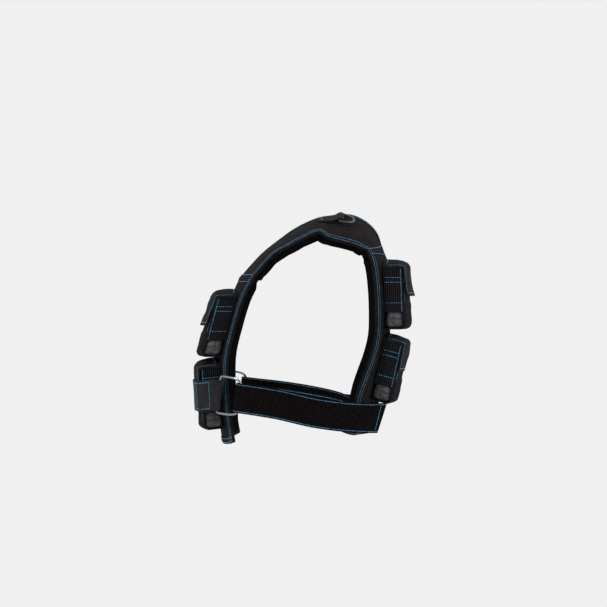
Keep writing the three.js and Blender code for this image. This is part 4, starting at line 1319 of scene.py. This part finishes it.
def front_belt_path():
    level = FRONT_BELT_DROP - LOWER_FRONT_DROP
    clear = POUCH_DEPTH + FLAP_CLOTH + 2 * SEWN_GAP + FRONT_BELT_CLOTH / 2 + 1.5
    side, middle = [PouchFrame("front_lower", column) for column in ("left", "middle")]
    radius = RING_WIRE / 2 + SEWN_GAP + FRONT_BELT_CLOTH / 2
    layers = (FRONT_BELT_CLOTH + SEWN_GAP) / 2
    up = -2
    past_corner = side.at(POUCH_HALF + 4.5, level, clear - 2.2) + np.array([0, 2.5, 0])
    approach = mix(past_corner, ring_place(-radius * 2.2, 0, up), 0.62)
    return_end = mix(past_corner, approach, 0.35)
    outside = unit(approach - past_corner)
    outwards = np.array([outside[1], -outside[0], 0])
    stops = ((middle, 0), (middle, POUCH_HALF * 0.66), (side, -POUCH_HALF * 0.66), (side, 0),
             (side, POUCH_HALF - 3))
    outer = [place.at(s, level, clear) for place, s in stops]
    outer += [past_corner, approach + outwards * layers, ring_place(-radius * 1.6, radius * 0.8, up)]
    fold = fold_round(0, radius, up, 1)[::-1]
    inner = [fold[-1], ring_place(-radius * 1.6, -radius * 0.8, up), approach - outwards * (layers + 0.3),
             return_end - outwards * (2 * layers + 0.5)]
    left = np.concatenate([smooth_line(outer, OUTER_COUNT)[:-1], fold, smooth_line(inner, 14)[1:]])
    path = np.concatenate([mirrored(left[1:])[::-1], left])
    x = path[:, 0]
    share = np.clip((np.abs(x) - past_corner[0]) / (ring_bar[0] - past_corner[0]), 0, 1)
    start = -side.down * np.array([0, 1, 1])
    return path, mix(start, xyz(ring_up[0] * np.sign(x), ring_up[1], ring_up[2]), share[:, None])


belt_path, belt_rise = front_belt_path()
belt_outer, belt_inner = belt_grids(belt_path, belt_rise, FRONT_BELT_WIDTH, FRONT_BELT_CLOTH)
belt_loose = eased((ring_bar[0] - 12 - np.abs(belt_outer[..., 0])) / 30)
drift = unit(belt_outer - belt_inner) * (0.55 * swells(belt_outer, 32, 4.0) * belt_loose)[..., None]
belt_outer, belt_inner = belt_outer + drift, belt_inner + drift
sheet_piece("front_webbing", (belt_outer, belt_inner), webbing_cloth, 0.5, "webbing", ["front_belt"])
x, y = belt_outer[:, 5, :2].T
on_outer_layer = np.abs(np.arange(len(x)) - len(x) // 2) <= OUTER_COUNT
box_rows = []
for hand in (1, -1):
    box = np.flatnonzero((x * hand > 0) & (BOX_FROM < y) & (y < BOX_TO) & on_outer_layer)
    first, last = box[0], box[-1] + 1
    box_rows += [belt_row(belt_outer, belt_inner, share, slice(first, last)) for share in (0.08, 0.92)]
    box_rows += [row_over(belt_outer[i, 1:-1], belt_inner[i, 1:-1])
                 for i in (first, last - 1, (first + last) // 2)]
sew("webbing_stitches", box_rows, "webbing")
print("front belt is", round(lengths_along(belt_path)[-1]), "mm long")

# %% [markdown]
# ## The side belts
# A side belt starts on the back panel, goes round the waist to the ring, turns through it and lies
# back over itself, where its hooks grip the loops. Its free end is cut at a slant.

# %% Side belts
SIDE_BELT_DROP = 319
RING_DROP = 283
FOLD_AWAY = BELT_RING_LENGTH * 0.872
SIDE_OUT = PANEL_HALF_WIDTH + 27
SIDE_TAIL = 121
SIDE_SLANT = 17


def side_belt_path():
    cloth = SIDE_BELT_CLOTH
    layer = (cloth + SEWN_GAP) / 2
    radius = RING_WIRE / 2 + SEWN_GAP + cloth / 2
    panel_edge = float(back.half_width(-SIDE_BELT_DROP))
    up = -1

    def beside(out, y, share):
        """A place beside the body, at a share of the drop from the ring to the back panel."""
        return SIDE_OUT + out, y, -mix(RING_DROP, SIDE_BELT_DROP, share)

    starts = [8, panel_edge * 0.28, panel_edge * 0.56, panel_edge * 0.77, panel_edge - 12, panel_edge + 3]
    inner = [back.at(x, -SIDE_BELT_DROP, 2.5 * SEWN_GAP + cloth / 2) for x in starts]
    inner += [beside(-6.5, 45, 0.7), beside(-layer, 5, 0.45), beside(-layer - 2, -50, 0.2),
              ring_place(FOLD_AWAY + 26, -layer - 0.6, up), ring_place(FOLD_AWAY + 8, -radius, up),
              ring_place(FOLD_AWAY, -radius, up)]
    outer = [ring_place(FOLD_AWAY, radius, up), ring_place(FOLD_AWAY + 8, radius, up),
             ring_place(FOLD_AWAY + 26, layer + 0.6, up), beside(layer - 1.6, -50, 0.28),
             beside(layer + 0.4, 5, 0.63), beside(-2, SIDE_TAIL * 0.455, 0.83),
             beside(-14, SIDE_TAIL * 0.785, 0.91), beside(-24, SIDE_TAIL, 0.92)]
    fold = fold_round(FOLD_AWAY, radius, up, -1)
    inner_line = smooth_line(inner, 96)[:-1]
    path = np.concatenate([inner_line, fold, smooth_line(outer, 64)[1:]])
    x, y = path[:, 0], path[:, 1]
    sewn = np.clip((y - 30) / 40, 0, 1) * (np.arange(len(path)) < len(inner_line))
    at_ring = np.clip((-60 - y) / 40, 0, 1)
    on_panel = np.minimum(x, panel_edge)
    upper, lower = [back.point(on_panel, part * SIDE_BELT_WIDTH / 2 - SIDE_BELT_DROP) for part in (1, -1)]
    rises = mix(np.array([0.0, 0.0, 1.0]), unit(upper - lower), sewn[:, None])
    return path, mix(rises, ring_up, at_ring[:, None]), len(inner_line), len(fold)


side_path, side_rise, inner_count, turn_count = side_belt_path()
flat_grids = belt_grids(side_path, side_rise, SIDE_BELT_WIDTH, SIDE_BELT_CLOTH, SIDE_SLANT)
side_swell = 0.5 * swells(flat_grids[0], 30, 9.0) + 0.25 * swells(flat_grids[0], 11, 2.0)
# The belt swells less on the back panel, where it is sewn, and round the ring, where it is pulled.
pinned = np.ones((len(side_path), 1))
pinned[inner_count - 8:inner_count + turn_count + 8] = 0.2
pinned[:60] = 0.3
drift = unit(flat_grids[0] - flat_grids[1]) * (side_swell * pinned * 0.7)[..., None]
for side, turn in SIDES:
    outer, inner = [turn(grid + drift) for grid in flat_grids]
    piece = closed_sheet("loop_belt_" + side, outer, inner, loop_pile, 0.6)
    register(piece, "loop_tape", "side_belt_" + side)
    as_sheet(flat_grids[0])
    faces = ((outer, inner), (inner, outer))
    rows = [belt_row(a, b, share) for share in (0.055, 0.945) for a, b in faces]
    rows += [row_over(a[i, 1:-1], b[i, 1:-1]) for i in (2, 16, len(side_path) - 3) for a, b in faces]
    sew("loop_belt_stitches_" + side, rows, "loop_tape")
print("side belt is", round(lengths_along(side_path)[-1]), "mm long")

# %% [markdown]
# ## The rings on the shoulders
# A short loop of webbing, sewn flat on each strap, holds the bar of a small black ring.

# %% Shoulder rings and their tabs
TAB_STATION = 5.1
TAB_CENTRE = 0.36
TAB_LENGTH = 38
TAB_WIDTH = 25
TAB_CLOTH = 1.8
TAB_SEAT = 0.6
BAR_HEIGHT = TAB_SEAT + TAB_CLOTH + 5.5 * SEWN_GAP + RING_WIRE / 2
near_tab, past_tab = [strap_point(TAB_STATION + step, TAB_CENTRE) for step in (0, 1.6)]
station_length = float(np.linalg.norm(past_tab - near_tab)) / 1.6


def along_tab(distance, out):
    return strap_at(TAB_STATION + distance / station_length, TAB_CENTRE, out)


def across_tab(distance):
    station = TAB_STATION + distance / station_length
    return unit(strap_point(station, TAB_CENTRE + 0.05) - strap_point(station, TAB_CENTRE - 0.05))


def tab_grids():
    radius = RING_WIRE / 2 + 3 * SEWN_GAP + TAB_CLOTH / 2
    base = TAB_SEAT + TAB_CLOTH / 2
    path = [(d, base) for d in np.linspace(0, TAB_LENGTH * 0.95, 12)]
    path += [(TAB_LENGTH + radius * math.cos(a), BAR_HEIGHT + radius * math.sin(a))
             for a in np.radians(np.linspace(-90, 100, 12))]
    path.append((TAB_LENGTH * 0.79, base + TAB_CLOTH + 5 * SEWN_GAP))
    path += [(TAB_LENGTH * share, base + TAB_CLOTH + SEWN_GAP) for share in (0.63, 0.55, 0.46, 0.37)]
    path = np.array(path)
    run = unit(np.gradient(path, axis=0))
    half = np.stack([-run[:, 1], run[:, 0]], axis=-1) * TAB_CLOTH / 2
    across = across_tab(np.minimum(path[:, 0], TAB_LENGTH))[:, None]
    shares = np.linspace(-0.5, 0.5, 11)[None, :, None]
    return [along_tab(*face.T)[:, None] + across * shares * TAB_WIDTH for face in (path + half, path - half)]


tab_faces = tab_grids()
bar = along_tab(TAB_LENGTH, BAR_HEIGHT)
away = unit(along_tab(TAB_LENGTH + SHOULDER_RING_LENGTH, BAR_HEIGHT) - bar)
across = across_tab(TAB_LENGTH)
across = unit(across - away * np.dot(across, away))
shoulder_ring = ring_line(bar, away, across, SHOULDER_RING_LENGTH, SHOULDER_RING_HALF_HEIGHT, 2.6)
for side, turn in SIDES:
    grids = [turn(face) for face in tab_faces]
    sheet_piece("tab_webbing_" + side, grids, webbing_cloth, 0.4, "webbing", ["ring_tab_" + side])
    rows = [row_over(grids[0][i, 1:-1], grids[1][i, 1:-1], 0.2) for i in (2, 5, 8)]
    sew("tab_stitches_" + side, rows, "webbing")
    tube("black_ring_" + side, turn(shoulder_ring), black_steel, "black_steel", "shoulder_ring_" + side)

# %% [markdown]
# ## Floor and light
# The picture was taken on white. A pale floor far below and a light room keep the ground as pale,
# and two soft lamps shape the cloth, one from the front and one from behind.

# %% Floor and light
PALE = "f0f0f0"
bpy.ops.mesh.primitive_circle_add(vertices=96, radius=3.2, fill_type="NGON", location=(0, 0, -1.1))
floor = bpy.context.object
floor.name = "floor"
floor.data.materials.append(new_material("floor_paint", PALE, 0.9))

world = bpy.data.worlds.new("studio")
world.use_nodes = True
world.node_tree.nodes["Background"].inputs["Color"].default_value = linear(PALE)
world.node_tree.nodes["Background"].inputs["Strength"].default_value = 1.0
bpy.context.scene.world = world


def soft_light(name, place, size, power):
    data = bpy.data.lights.new(name, "AREA")
    data.shape = "DISK"
    data.size = size
    data.energy = power
    lamp = add_object(name, data)
    lamp.location = place
    direction = Vector((0, 0, -0.15)) - Vector(place)
    lamp.rotation_mode = "QUATERNION"
    lamp.rotation_quaternion = direction.to_track_quat("-Z", "Y")


soft_light("key", (1.8, -1.2, 2.2), 0.7, 48)
soft_light("rim", (0.3, 2.0, 1.4), 1.0, 25)

# %% [markdown]
# ## The camera
# It stands four metres away on the wearer's left, where the picture was taken from, and its long
# lens keeps the near and the far side of the vest almost the same size.

# %% Camera
camera_data = bpy.data.cameras.new("camera")
camera_data.sensor_width = 36
camera_data.lens = 136
camera = add_object("camera", camera_data)
camera.location = (4.0, -0.011, -0.124)
camera.rotation_euler = (math.radians(90), 0, math.radians(90))
bpy.context.scene.camera = camera
bpy.context.scene.view_settings.view_transform = "Standard"
